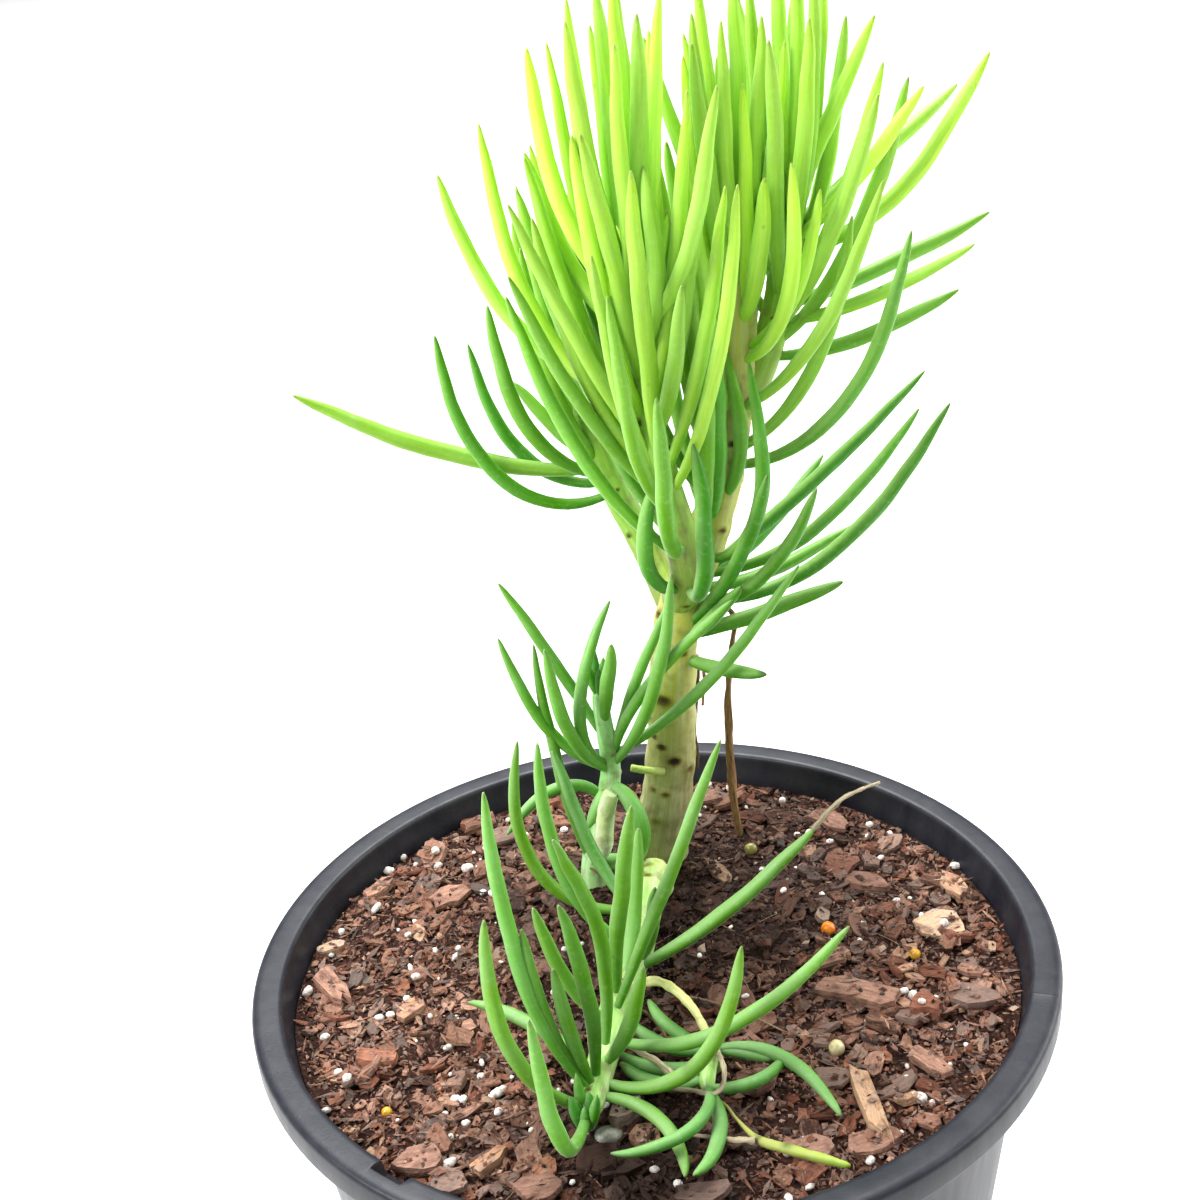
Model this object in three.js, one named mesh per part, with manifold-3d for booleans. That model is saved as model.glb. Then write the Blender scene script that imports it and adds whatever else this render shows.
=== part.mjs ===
// Chalk sticks, a finger-leaved succulent, growing in a round nursery pot of potting mix.
// Millimetres, +Z up. The origin is the centre of the pot's foot, on the surface that it stands on.
import * as THREE from "three";
import { mergeVertices } from "three/addons/utils/BufferGeometryUtils.js";
import Module from "manifold-3d";

const wasm = await Module();
wasm.setup();

// Driving dimensions of the pot
const POT_HEIGHT = 190;
const RIM_RADIUS = 102.2;
const RIM_INNER_RADIUS = 94.5;
const SKIRT_HEIGHT = 7.5;
const SKIRT_THICKNESS = 1.6;
const RIM_THICKNESS = 1.8;
const RIM_EDGE = 0.8;
const WALL_THICKNESS = 1.5;
const WALL_TOP_RADIUS = 94.4;
const WALL_TAPER = 7;
const FOOT_HEIGHT = 3;
const FOOT_WIDTH = 5;
const FOOT_SLOPE = 3;
const FLOOR_THICKNESS = 2;
const POT_FLOOR = FOOT_HEIGHT + FLOOR_THICKNESS;
const DRAIN_HOLES = 8;
const DRAIN_HOLE_RADIUS = 4;
const DRAIN_HOLE_SIDES = 12;
const DRAIN_CIRCLE_RADIUS = 46;
const TAG_NOTCH = { width: 9, depth: 3.4, height: 5, azimuth: 230 };
const POT_SIDES = 40;

// Driving dimensions of the potting mix
const SOIL_LEVEL = 181;
const SOIL_RELIEF = 1.1;
const SOIL_SWELLS = [9.1, 10.3, 6.7, 5.9];
const STEM_HOLE_DEPTH = 45;
const SOIL_RINGS = 7;

// Clearance between neighbouring pieces
const GAP = 0.3;

// Faces closer than this are merged where leaves are fused
const MERGE_TOLERANCE = 0.04;

// Driving dimensions of the plant
const LEAF_SIDES = 5;
const LEAF_SINK = 0.3;
const STEM_SIDES = 8;
const STEM_STEP = 9;
const TIP_ROUNDING = 0.55;
const LINE_STEPS = 16;
const LEAF_STEPS = 24;
const GOLDEN_ANGLE = 137.5;
const LEAF_VARIETY = { azimuth: 24, length: 12, root: 14, tip: 10 };
const TRUNK_TOP = 90;
const DRAW_SEED = 20261;

// Where a leaf's cross-sections stand along its length, and its half width there as a share of the widest
const LEAF_RINGS = [0, 0.12, 0.3, 0.5, 0.7, 0.88];
const GENTLE_LEAF_RINGS = [0, 0.2, 0.54, 0.84];
const STRONG_BEND = 48;
const leafShape = (s) => (0.56 + 0.44 * Math.sin((Math.PI / 2) * Math.min(s / 0.45, 1))) * (1 - s ** 3.4) ** 0.75;

// Each stem's line, from its buried foot or its fork to its growing tip, and its radius at both ends.
const STEMS = {
  main: {
    line: [[6, 54, 150], [6, 54, 183], [9, 55, 201], [11, 55, 217], [13, 55, 240],
      [16, 56, 258], [24, 57, 276], [31, 57, 300], [35, 57, 328], [37, 57, 352]],
    radius: [8.2, 4],
  },
  left: {
    line: [[16, 55, 260], [18, 46, 274], [13, 43, 300], [10, 43, 320], [10, 43, 338], [12, 44, 348]],
    radius: [5, 3.5],
  },
  right: {
    line: [[32.5, 57, 309], [40, 60, 320], [45.5, 62, 334], [49, 62, 350], [50, 62, 360]],
    radius: [4.6, 3.5],
  },
  back: { line: [[15, 57, 256], [9, 66, 270], [1, 70, 288], [-4, 72, 304], [-5, 72, 316]], radius: [4.6, 3.2] },
  side: {
    line: [[-14, 42, 152], [-14, 42, 183], [-11.5, 42, 196], [-7.5, 42, 211], [-6.5, 42, 220],
      [-7.5, 42, 234], [-7.5, 42, 243]],
    radius: [4.2, 2.2],
  },
  front: {
    line: [[3, 35, 154], [3, 36, 182], [1, 24, 190], [-4, -3, 190], [-9, -19, 190],
      [-12, -33, 190], [-16, -50, 189], [-19, -60, 188]],
    radius: [5.5, 3.2],
  },
  low: {
    line: [[12, -39, 160], [12, -39, 182], [11.6, -41, 187.5], [10, -48, 188], [8.8, -54.8, 187.5]],
    radius: [2.4, 1.8],
  },
};

// The leaves that stand out from the rest. Each row is the distance along the stem from its foot, the
// compass direction in degrees, the length, the rise in degrees at the root and at the tip, and how far
// the leaf swings sideways on its way.
const KNOWN_LEAVES = {
  main: [
    [95, 320, 30, -16, 10, 0], [96, 325, 32, 38, 50, 0], [99, 355, 48, 12, 20, 0], [100, 332, 68, 42, 62, -50],
    [109, 328, 60, 0, 65, 0], [111, 6, 95, -20, 57, 0], [114, 22, 55, -18, 18, 0], [116, 12, 84, 26, 40, 0],
    [117, 38, 58, -10, 35, 0], [118, 348, 79, 0, 56, 0], [124, 306, 72, 0, 102, 0], [131, 285, 54, 56, 82, 0],
    [140, 304, 46, 30, 105, 0], [150, 338, 85, 2, 76, 0], [153, 346, 73, 24, 80, 0], [165, 316, 80, 24, 68, 0],
    [178, 305, 62, 15, 92, 0], [181, 320, 52, 20, 78, 0], [187, 290, 45, 43, 77, 0],
  ],
  left: [
    [10, 280, 60, -18, 110, 0], [10, 222, 42, -14, 115, 0], [19, 186, 86, 38, 74, 0], [25, 260, 66, -8, 90, 0],
    [34, 246, 75, 27, 83, 0], [37, 201, 75, 45, 68, 0], [46, 217, 84, 56, 66, 0], [55, 287, 54, 34, 70, 0],
    [60, 174, 86, 25, 85, 0], [65, 249, 76, 70, 66, 0], [70, 170, 76, -5, 76, 0], [78, 290, 50, 30, 100, 0],
    [80, 155, 54, 30, 75, 0], [82, 300, 74, 30, 73, 0], [87, 193, 70, 40, 86, 0], [88, 229, 73, 55, 83, 0],
  ],
  right: [
    [18, 354, 52, -5, 27, 0], [27, 343, 54, 4, 30, 0], [31, 8, 59, 8, 22, 0], [45, 6, 71, 0, 60, 0],
    [47, 345, 50, 35, 55, 0], [51, 27, 60, 25, 28, 0], [52, 335, 54, 72, 62, 0], [52, 60, 45, 20, 80, 0],
  ],
  back: [
    [37, 192, 78, -25, 84, 0], [40, 172, 60, -15, 80, 0], [42, 203, 64, 12, 85, 0], [44, 185, 86, 0, 31, 0],
    [46, 158, 32, 25, 50, 0],
  ],
  side: [
    [34, 200, 74, 73, 86, 0], [50, 190, 41, 120, -51, 0], [61, 307, 52, 21, -169, 0], [62, 221, 14, -40, -54, 0],
    [66, 191, 54, 27, 76, 0], [66, 223, 50, 34, 83, 0], [67, 335, 67, 77, 44, 0], [67, 326, 67, 47, 80, 0],
    [67, 351, 53, 76, 65, 0], [68, 224, 55, 26, 130, 0], [70, 353, 77, 28, 55, 0], [74, 179, 56, 68, 62, 0],
    [80, 284, 35, 69, 61, 0],
  ],
  front: [
    [52, 181, 74, -20, 100, 0], [71, 187, 70, 37, 91, 0], [80, 16, 60, 10, 38, 0], [92, 293, 70, 85, 68, 0],
    [98, 1, 80, 68, 68, 0], [105, 315, 76, 8, 48, 50], [112, 240, 72, 118, 62, 0], [119, 332, 65, -10, 80, 14],
    [121, 110, 44, 8, 3, 50], [121, 244, 58, 105, 70, 0], [122, 205, 38, 73, 83, 0], [122, 196, 51, 58, 84, 0],
    [123, 191, 87, 59, 89, 0], [124, 356, 35, -2, -7, -97], [127, 206, 66, 31, 92, 0], [128, 260, 80, 0, 82, 0],
  ],
  low: [
    [27, 160, 22, 15, 9, -57], [27, 182, 24, 1, 5, -69], [27, 342, 15, 8, 4, -18], [27, 352, 38, 24, -18, -67],
    [33, 181, 25, -18, -4, -58], [38, 187, 25, -16, -4, -73], [41, 284, 38, 24, -8, -125], [41, 294, 30, -4, 3, -72],
    [41, 342, 23, -2, 6, 81],
  ],
};

// The rest of each stem's leaves follow the golden angle from the first to the last place on the stem.
// Length, rise at the root and rise at the tip are given for the oldest and the youngest leaf.
const LEAF_RULES = {
  main: { from: 116, to: 204, count: 46, start: 100, length: [84, 68], root: [48, 78], tip: [78, 89] },
  left: { from: 30, to: 91, count: 33, start: 100, length: [86, 78], root: [50, 78], tip: [78, 89] },
  right: { from: 16, to: 54, count: 22, start: 80, length: [78, 66], root: [36, 78], tip: [70, 89] },
  back: { from: 34, to: 66, count: 14, start: 20, length: [74, 56], root: [46, 78], tip: [76, 88] },
  front: { from: 60, to: 128, count: 6, start: 140, length: [50, 34], root: [30, 60], tip: [70, 85] },
};

// Bare roots on the trunk's side and the stalk of the runner: lines of points, and radius at both ends
const AERIAL_ROOT = [[14.5, 57, 248], [22, 61, 252], [28, 61, 254], [30.6, 60.5, 250], [29.8, 60, 242],
  [28.4, 60, 231.6], [27.5, 60, 219], [27.6, 60, 209], [27.8, 60, 196], [28.6, 60, 182], [28.6, 60, 171]];
const SHORT_ROOT = [[12, 57, 236], [19, 65, 238], [22, 67, 231], [21, 66, 221]];
const RUNNER = [[-7, -20, 190], [-4, -21, 193], [0.7, -23.2, 195], [4.9, -28, 195], [8.4, -33, 193],
  [10.6, -37, 189.4]];
const LONG_ROOT_RADIUS = [1, 0.8];
const SHORT_ROOT_RADIUS = [0.8, 0.5];
const RUNNER_RADIUS = [1.1, 0.9];
const STRAND_SIDES = 6;
const STRAND_STEP = 7;

// Half the width of a leaf at its widest, by stem
const LEAF_HALF_WIDTH = { main: 2.5, left: 2.5, right: 2.5, back: 2.4, side: 2.3, front: 2.4, low: 1.9 };

// How a leaf makes room: it turns by these angles in order until it is clear of those already placed.
const TURNS = [0, 9, -9, 18, -18, 27, -27, 36, -36, 45, -45];
const CLEAR_OF_OTHER_STEMS = 0.7;
const CLEAR_ON_SAME_STEM = -1.2;
const SHARED_ROOT_SHARE = 0.25;

// The branches that fork off the main stem, and how much of each one's foot lies inside it
const FORKS = ["left", "right", "back"];
const FORK_HIDDEN = 8;
const FORK_REACH = 24;

// Colours, roughness and metalness of the finishes
const FINISHES = {
  potPlastic: { color: 0x2b2b2e, roughness: 0.35, metalness: 0 },
  pottingMix: { color: 0x563c2b, roughness: 0.95, metalness: 0 },
  trunkBark: { color: 0x9a9455, roughness: 0.7, metalness: 0 },
  crownLeaf: { color: 0x84bf2e, roughness: 0.5, metalness: 0 },
  shootLeaf: { color: 0x5da843, roughness: 0.5, metalness: 0 },
  runner: { color: 0xd8d78a, roughness: 0.6, metalness: 0 },
  dryRoot: { color: 0x7a5738, roughness: 0.9, metalness: 0 },
};

const radians = THREE.MathUtils.degToRad;
const mix = THREE.MathUtils.lerp;

// A seeded draw between 0 and 1
let drawState = DRAW_SEED;
function draw() {
  drawState = (Math.imul(drawState, 1664525) + 1013904223) >>> 0;
  return drawState / 2 ** 32;
}

// A closed three.js geometry as a solid that can be joined and cut
function solidOf(geometry) {
  geometry.deleteAttribute("normal");
  geometry.deleteAttribute("uv");
  const merged = mergeVertices(geometry, 1e-4);
  return new wasm.Manifold(
    new wasm.Mesh({
      numProp: 3,
      vertProperties: new Float32Array(merged.attributes.position.array),
      triVerts: new Uint32Array(merged.index.array),
    }),
  );
}

// A solid as a named mesh with its own material
function meshOf(name, solid, finish) {
  const made = solid.getMesh();
  const geometry = new THREE.BufferGeometry();
  geometry.setAttribute("position", new THREE.BufferAttribute(new Float32Array(made.vertProperties), 3));
  geometry.setIndex(new THREE.BufferAttribute(new Uint32Array(made.triVerts), 1));
  geometry.computeVertexNormals();
  const mesh = new THREE.Mesh(geometry, new THREE.MeshStandardMaterial(finish));
  mesh.name = name;
  return mesh;
}

// A lathe about Z from rows of radius and height
function lathe(rows, sides) {
  const profile = rows.map(([radius, height]) => new THREE.Vector2(radius, height));
  return new THREE.LatheGeometry(profile, sides).rotateX(Math.PI / 2);
}

// A smooth line through points, with the distance to each of its vertices and a frame that doesn't twist
function lineThrough(points) {
  const curve = new THREE.CatmullRomCurve3(points.map((p) => new THREE.Vector3(...p)), false, "catmullrom", 0.5);
  return framed(curve.getPoints((points.length - 1) * LINE_STEPS), new THREE.Vector3(1, 0, 0));
}

function framed(points, firstSide) {
  const far = [0];
  for (let i = 1; i < points.length; i++) far.push(far[i - 1] + points[i].distanceTo(points[i - 1]));
  const last = points.length - 1;
  let side = firstSide.clone();
  const frames = points.map((point, i) => {
    const along = points[Math.min(i + 1, last)].clone().sub(points[Math.max(i - 1, 0)]).normalize();
    side = side.clone().addScaledVector(along, -side.dot(along)).normalize();
    return { point, along, side };
  });
  return { far, frames, length: far[last] };
}

function frameAt(line, distance) {
  const at = THREE.MathUtils.clamp(distance, 0, line.length);
  let i = 1;
  while (i < line.far.length - 1 && line.far[i] < at) i++;
  const share = (at - line.far[i - 1]) / (line.far[i] - line.far[i - 1]);
  const before = line.frames[i - 1];
  const after = line.frames[i];
  const along = before.along.clone().lerp(after.along, share).normalize();
  const side = before.side.clone().lerp(after.side, share);
  side.addScaledVector(along, -side.dot(along)).normalize();
  return { point: before.point.clone().lerp(after.point, share), along, side };
}

// A straight turned body, given as rows of radius and distance, bent along a line
function bentAlong(line, rows, sides) {
  const geometry = lathe(rows, sides);
  const position = geometry.attributes.position;
  for (let i = 0; i < position.count; i++) {
    const { point, along, side } = frameAt(line, position.getZ(i));
    const across = along.clone().cross(side);
    point.addScaledVector(side, position.getX(i)).addScaledVector(across, position.getY(i));
    position.setXYZ(i, point.x, point.y, point.z);
  }
  return solidOf(geometry);
}

const stemRadius = (stem, share) => mix(stem.radius[0], stem.radius[1], share);

// A length of stem with flat ends, made fatter by extra to cut a hole or a seat for it. Its radius
// follows the whole stem's taper, and a growing tip is rounded off.
function stemSolid(name, from, to, { extra = 0, rounded = false } = {}) {
  const stem = STEMS[name];
  const line = LINES[name];
  const steps = Math.max(2, Math.round((to - from) / STEM_STEP));
  const rows = [[0, from]];
  for (let i = 0; i <= steps; i++) {
    const distance = mix(from, to, i / steps);
    const end = rounded && i === steps ? TIP_ROUNDING : 1;
    rows.push([stemRadius(stem, distance / line.length) * end + extra, distance]);
  }
  rows.push([0, to]);
  return bentAlong(line, rows, STEM_SIDES);
}

// A leaf's line: it leaves its stem at one rise and bends towards the other, fastest near the root.
function leafLine(stemName, [distance, azimuth, length, rootRise, tipRise, turn]) {
  const start = frameAt(LINES[stemName], distance).point;
  const points = [start];
  for (let k = 0; k < LEAF_STEPS; k++) {
    const s = (k + 0.5) / LEAF_STEPS;
    const rise = radians(rootRise + (tipRise - rootRise) * (1 - (1 - s) ** 2));
    const heading = radians(azimuth + turn * s);
    const step = new THREE.Vector3(
      Math.cos(rise) * Math.cos(heading),
      Math.cos(rise) * Math.sin(heading),
      Math.sin(rise),
    );
    points.push(points[k].clone().addScaledVector(step, length / LEAF_STEPS));
  }
  return points;
}

function leafSolid(leaf, extra = 0) {
  const heading = radians(leaf.row[1]);
  const line = framed(leaf.points, new THREE.Vector3(-Math.sin(heading), Math.cos(heading), 0));
  const sink = LEAF_SINK * stemRadius(STEMS[leaf.stem], leaf.row[0] / LINES[leaf.stem].length);
  const bend = Math.abs(leaf.row[4] - leaf.row[3]) + Math.abs(leaf.row[5]);
  const rings = bend > STRONG_BEND ? LEAF_RINGS : GENTLE_LEAF_RINGS;
  const rows = [[0, sink]];
  for (const s of rings) rows.push([leaf.halfWidth * leafShape(s) + extra, mix(sink, line.length, s)]);
  rows.push([0, line.length]);
  return bentAlong(line, rows, LEAF_SIDES);
}

// The least room between two leaves, past the roots that they share on one stem
function roomBetween(a, b) {
  const first = a.stem === b.stem ? Math.ceil(LEAF_STEPS * SHARED_ROOT_SHARE) : 0;
  let least = Infinity;
  for (let i = first; i <= LEAF_STEPS; i++) {
    for (let j = first; j <= LEAF_STEPS; j++) {
      const widths = a.halfWidth * leafShape(i / LEAF_STEPS) + b.halfWidth * leafShape(j / LEAF_STEPS);
      least = Math.min(least, a.points[i].distanceTo(b.points[j]) - widths);
    }
  }
  return least;
}

// The least room between a leaf and the stems that it doesn't grow from
function roomFromStems(leaf) {
  let least = Infinity;
  for (const [name, line] of Object.entries(LINES)) {
    if (name === leaf.stem) continue;
    line.frames.forEach(({ point }, k) => {
      if (FORKS.includes(name) && line.far[k] < FORK_HIDDEN) return;
      const radius = stemRadius(STEMS[name], line.far[k] / line.length);
      leaf.points.forEach((p, i) => {
        least = Math.min(least, p.distanceTo(point) - radius - leaf.halfWidth * leafShape(i / LEAF_STEPS));
      });
    });
  }
  return least;
}

function makeLeaf(stem, row) {
  return { stem, row, points: leafLine(stem, row), halfWidth: LEAF_HALF_WIDTH[stem] };
}

function hasRoom(leaf, placed) {
  if (roomFromStems(leaf) < CLEAR_OF_OTHER_STEMS) return false;
  return placed.every((other) => {
    const needed = other.stem === leaf.stem ? CLEAR_ON_SAME_STEM : CLEAR_OF_OTHER_STEMS;
    return roomBetween(leaf, other) >= needed;
  });
}

// All leaves: the known ones first, then those of the rules, each turned until it has room
function growLeaves() {
  const placed = [];
  for (const [stem, rows] of Object.entries(KNOWN_LEAVES)) {
    for (const row of rows) placed.push(makeLeaf(stem, row));
  }
  for (const [stem, rule] of Object.entries(LEAF_RULES)) {
    for (let i = 0; i < rule.count; i++) {
      const share = i / (rule.count - 1);
      const azimuth = rule.start + i * GOLDEN_ANGLE + (draw() - 0.5) * LEAF_VARIETY.azimuth;
      const length = mix(...rule.length, share) + (draw() - 0.5) * LEAF_VARIETY.length;
      const rootRise = mix(...rule.root, share) + (draw() - 0.5) * LEAF_VARIETY.root;
      const tipRise = mix(...rule.tip, share) + (draw() - 0.5) * LEAF_VARIETY.tip;
      for (const turned of TURNS) {
        const row = [mix(rule.from, rule.to, share), azimuth + turned, length, rootRise, tipRise, 0];
        const leaf = makeLeaf(stem, row);
        if (hasRoom(leaf, placed)) {
          placed.push(leaf);
          break;
        }
      }
    }
  }
  return placed;
}

// The pot: a turned plastic shell with a flat foot ring, a rolled rim, drain holes and a tag notch
function potSolid() {
  const slope = Math.tan(radians(WALL_TAPER));
  const skirtFoot = POT_HEIGHT - SKIRT_HEIGHT;
  const outer = (z) => WALL_TOP_RADIUS - (skirtFoot - z) * slope;
  const footOuter = outer(0);
  const shell = solidOf(
    lathe(
      [
        [0, FOOT_HEIGHT],
        [footOuter - FOOT_WIDTH - FOOT_SLOPE, FOOT_HEIGHT],
        [footOuter - FOOT_WIDTH, 0],
        [footOuter, 0],
        [WALL_TOP_RADIUS, skirtFoot],
        [RIM_INNER_RADIUS + WALL_THICKNESS, POT_HEIGHT - RIM_THICKNESS],
        [RIM_RADIUS - SKIRT_THICKNESS, POT_HEIGHT - RIM_THICKNESS],
        [RIM_RADIUS - SKIRT_THICKNESS, skirtFoot],
        [RIM_RADIUS, skirtFoot],
        [RIM_RADIUS, POT_HEIGHT - RIM_EDGE],
        [RIM_RADIUS - RIM_EDGE, POT_HEIGHT],
        [RIM_INNER_RADIUS + RIM_EDGE, POT_HEIGHT],
        [RIM_INNER_RADIUS, POT_HEIGHT - RIM_EDGE],
        [outer(skirtFoot) - WALL_THICKNESS, skirtFoot],
        [outer(POT_FLOOR) - WALL_THICKNESS, POT_FLOOR],
        [0, POT_FLOOR],
      ],
      POT_SIDES,
    ),
  );
  const drain = new THREE.CylinderGeometry(DRAIN_HOLE_RADIUS, DRAIN_HOLE_RADIUS, 4 * POT_FLOOR, DRAIN_HOLE_SIDES);
  drain.rotateX(Math.PI / 2);
  const holes = [];
  for (let i = 0; i < DRAIN_HOLES; i++) {
    const turn = (2 * Math.PI * (i + 0.5)) / DRAIN_HOLES;
    const place = [DRAIN_CIRCLE_RADIUS * Math.cos(turn), DRAIN_CIRCLE_RADIUS * Math.sin(turn), FOOT_HEIGHT];
    holes.push(solidOf(drain.clone().translate(...place)));
  }
  const { width, depth, height, azimuth } = TAG_NOTCH;
  const notch = new THREE.BoxGeometry(2 * depth, width, 2 * height)
    .translate(RIM_INNER_RADIUS, 0, POT_HEIGHT)
    .rotateZ(radians(azimuth));
  return holes.reduce((pot, hole) => pot.subtract(hole), shell.subtract(solidOf(notch)));
}

// The gently uneven top of the potting mix, flat at its edge
function soilHeight(x, y) {
  const inside = 1 - Math.min(Math.hypot(x, y) / RIM_INNER_RADIUS, 1) ** 6;
  const [a, b, c, d] = SOIL_SWELLS;
  const swell = 0.6 * Math.sin(x / a + 0.6) * Math.cos(y / b) + 0.4 * Math.sin(x / c - y / d);
  return SOIL_LEVEL + SOIL_RELIEF * inside * swell;
}

function soilSolid(cutters) {
  const slope = Math.tan(radians(WALL_TAPER));
  const inner = (z) => WALL_TOP_RADIUS - (POT_HEIGHT - SKIRT_HEIGHT - z) * slope - WALL_THICKNESS - GAP;
  const bottom = POT_FLOOR + GAP;
  const rows = [[0, bottom], [inner(bottom), bottom]];
  for (let i = 0; i <= SOIL_RINGS; i++) rows.push([inner(SOIL_LEVEL) * (1 - i / SOIL_RINGS), SOIL_LEVEL]);
  const geometry = lathe(rows, POT_SIDES);
  const position = geometry.attributes.position;
  for (let i = 0; i < position.count; i++) {
    if (position.getZ(i) > SOIL_LEVEL - 1) {
      position.setZ(i, soilHeight(position.getX(i), position.getY(i)));
    }
  }
  return cutters.reduce((soil, cutter) => soil.subtract(cutter), solidOf(geometry));
}

// A thin root or stalk of even taper along a line of points
function strand(points, [radiusFrom, radiusTo]) {
  const line = lineThrough(points);
  const steps = Math.max(3, Math.round(line.length / STRAND_STEP));
  const rows = [[0, 0]];
  for (let i = 0; i <= steps; i++) rows.push([mix(radiusFrom, radiusTo, i / steps), (line.length * i) / steps]);
  rows.push([0, line.length]);
  return bentAlong(line, rows, STRAND_SIDES);
}

const LINES = Object.fromEntries(Object.entries(STEMS).map(([name, stem]) => [name, lineThrough(stem.line)]));
const LEAVES = growLeaves();

// A stem with its leaves fused on. Pockets closed in between crowded leaf roots are filled.
function leafyStem(name, bareStem) {
  const leaves = LEAVES.filter((leaf) => leaf.stem === name).map((leaf) => leafSolid(leaf));
  const bodies = wasm.Manifold.union([bareStem, ...leaves]).simplify(MERGE_TOLERANCE).decompose();
  return wasm.Manifold.union(bodies.filter((body) => body.volume() > 0));
}

// Where a branch or a strand meets a stem, its end is hollowed to sit clear of that stem.
function seatedOn(name, solid) {
  return solid.subtract(stemSolid(name, 0, LINES[name].length, { extra: GAP }));
}

// A branch of the crown, seated on the main stem and clear of the main stem's leaves around its fork
function branchSolid(name) {
  const foot = LINES[name].frames[0].point;
  const around = LEAVES.filter((leaf) => leaf.stem === "main" && leaf.points[0].distanceTo(foot) < FORK_REACH);
  const stem = stemSolid(name, 0, LINES[name].length, { rounded: true });
  const cut = around.reduce((branch, leaf) => branch.subtract(leafSolid(leaf, GAP)), seatedOn("main", stem));
  const [largest] = cut.decompose().sort((a, b) => b.volume() - a.volume());
  return largest;
}

const whole = (name) => LINES[name].length;
const solids = {
  trunk: stemSolid("main", 0, TRUNK_TOP),
  crown_main_stem: leafyStem("main", stemSolid("main", TRUNK_TOP + GAP, whole("main"), { rounded: true })),
  crown_left_stem: leafyStem("left", branchSolid("left")),
  crown_right_stem: leafyStem("right", branchSolid("right")),
  crown_back_stem: leafyStem("back", branchSolid("back")),
  side_shoot: leafyStem("side", stemSolid("side", 0, whole("side"), { rounded: true })),
  front_shoot: leafyStem("front", stemSolid("front", 0, whole("front"), { rounded: true })),
  low_shoot: leafyStem("low", stemSolid("low", 0, whole("low"), { rounded: true })),
  runner: seatedOn("low", seatedOn("front", strand(RUNNER, RUNNER_RADIUS))),
  aerial_root_long: seatedOn("main", strand(AERIAL_ROOT, LONG_ROOT_RADIUS)),
  aerial_root_short: seatedOn("main", strand(SHORT_ROOT, SHORT_ROOT_RADIUS)),
};

const inSoil = ["main", "side", "front", "low"];
const holes = inSoil.map((name) => stemSolid(name, 0, STEM_HOLE_DEPTH, { extra: GAP }));
holes.push(strand(AERIAL_ROOT, LONG_ROOT_RADIUS.map((radius) => radius + GAP)));
solids.potting_mix = soilSolid(holes);
solids.pot = potSolid();

const NODE_FINISHES = {
  pot: FINISHES.potPlastic,
  potting_mix: FINISHES.pottingMix,
  trunk: FINISHES.trunkBark,
  crown_main_stem: FINISHES.crownLeaf,
  crown_left_stem: FINISHES.crownLeaf,
  crown_right_stem: FINISHES.crownLeaf,
  crown_back_stem: FINISHES.crownLeaf,
  side_shoot: FINISHES.shootLeaf,
  front_shoot: FINISHES.shootLeaf,
  low_shoot: FINISHES.shootLeaf,
  runner: FINISHES.runner,
  aerial_root_long: FINISHES.dryRoot,
  aerial_root_short: FINISHES.dryRoot,
};

const group = new THREE.Group();
for (const [name, finish] of Object.entries(NODE_FINISHES)) group.add(meshOf(name, solids[name], finish));

export default group;
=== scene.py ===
"""A chalk sticks plant in a black nursery pot: leaves, stems, roots, bark mix and pot for close views.

Lengths in the plant's tables are millimetres, as in the solids that the pieces stand for. All objects are
made in metres, in the frame of those solids: origin at the centre of the pot's foot, +Z up, the viewer on the
-Y side.
"""

import math
from functools import partial

import bpy
import numpy as np
from bpy.props import FloatProperty, FloatVectorProperty, IntProperty, PointerProperty
from mathutils import Matrix


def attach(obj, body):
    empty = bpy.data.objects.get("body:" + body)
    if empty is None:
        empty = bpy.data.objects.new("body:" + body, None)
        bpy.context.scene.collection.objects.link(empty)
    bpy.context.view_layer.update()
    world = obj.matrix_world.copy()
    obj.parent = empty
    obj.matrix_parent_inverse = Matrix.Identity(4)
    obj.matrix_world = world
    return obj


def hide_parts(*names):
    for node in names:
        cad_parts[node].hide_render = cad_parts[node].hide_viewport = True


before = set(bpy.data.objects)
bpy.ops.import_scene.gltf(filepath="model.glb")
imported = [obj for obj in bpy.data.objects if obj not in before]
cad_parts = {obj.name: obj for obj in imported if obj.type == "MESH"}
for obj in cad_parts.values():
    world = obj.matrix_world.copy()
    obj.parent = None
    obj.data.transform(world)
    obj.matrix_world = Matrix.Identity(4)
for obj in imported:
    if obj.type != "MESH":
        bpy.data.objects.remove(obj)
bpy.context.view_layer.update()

bl_info = {
    "name": "Potted Chalk Sticks",
    "version": (1, 0, 0),
    "blender": (4, 5, 0),
    "location": "View3D > Sidebar > Succulent",
    "description": "Builds a finger-leaved succulent in a nursery pot of bark mix, with a plain studio",
    "category": "Add Mesh",
}

MM = 0.001

# The plant, in the same values as its solids

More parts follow.
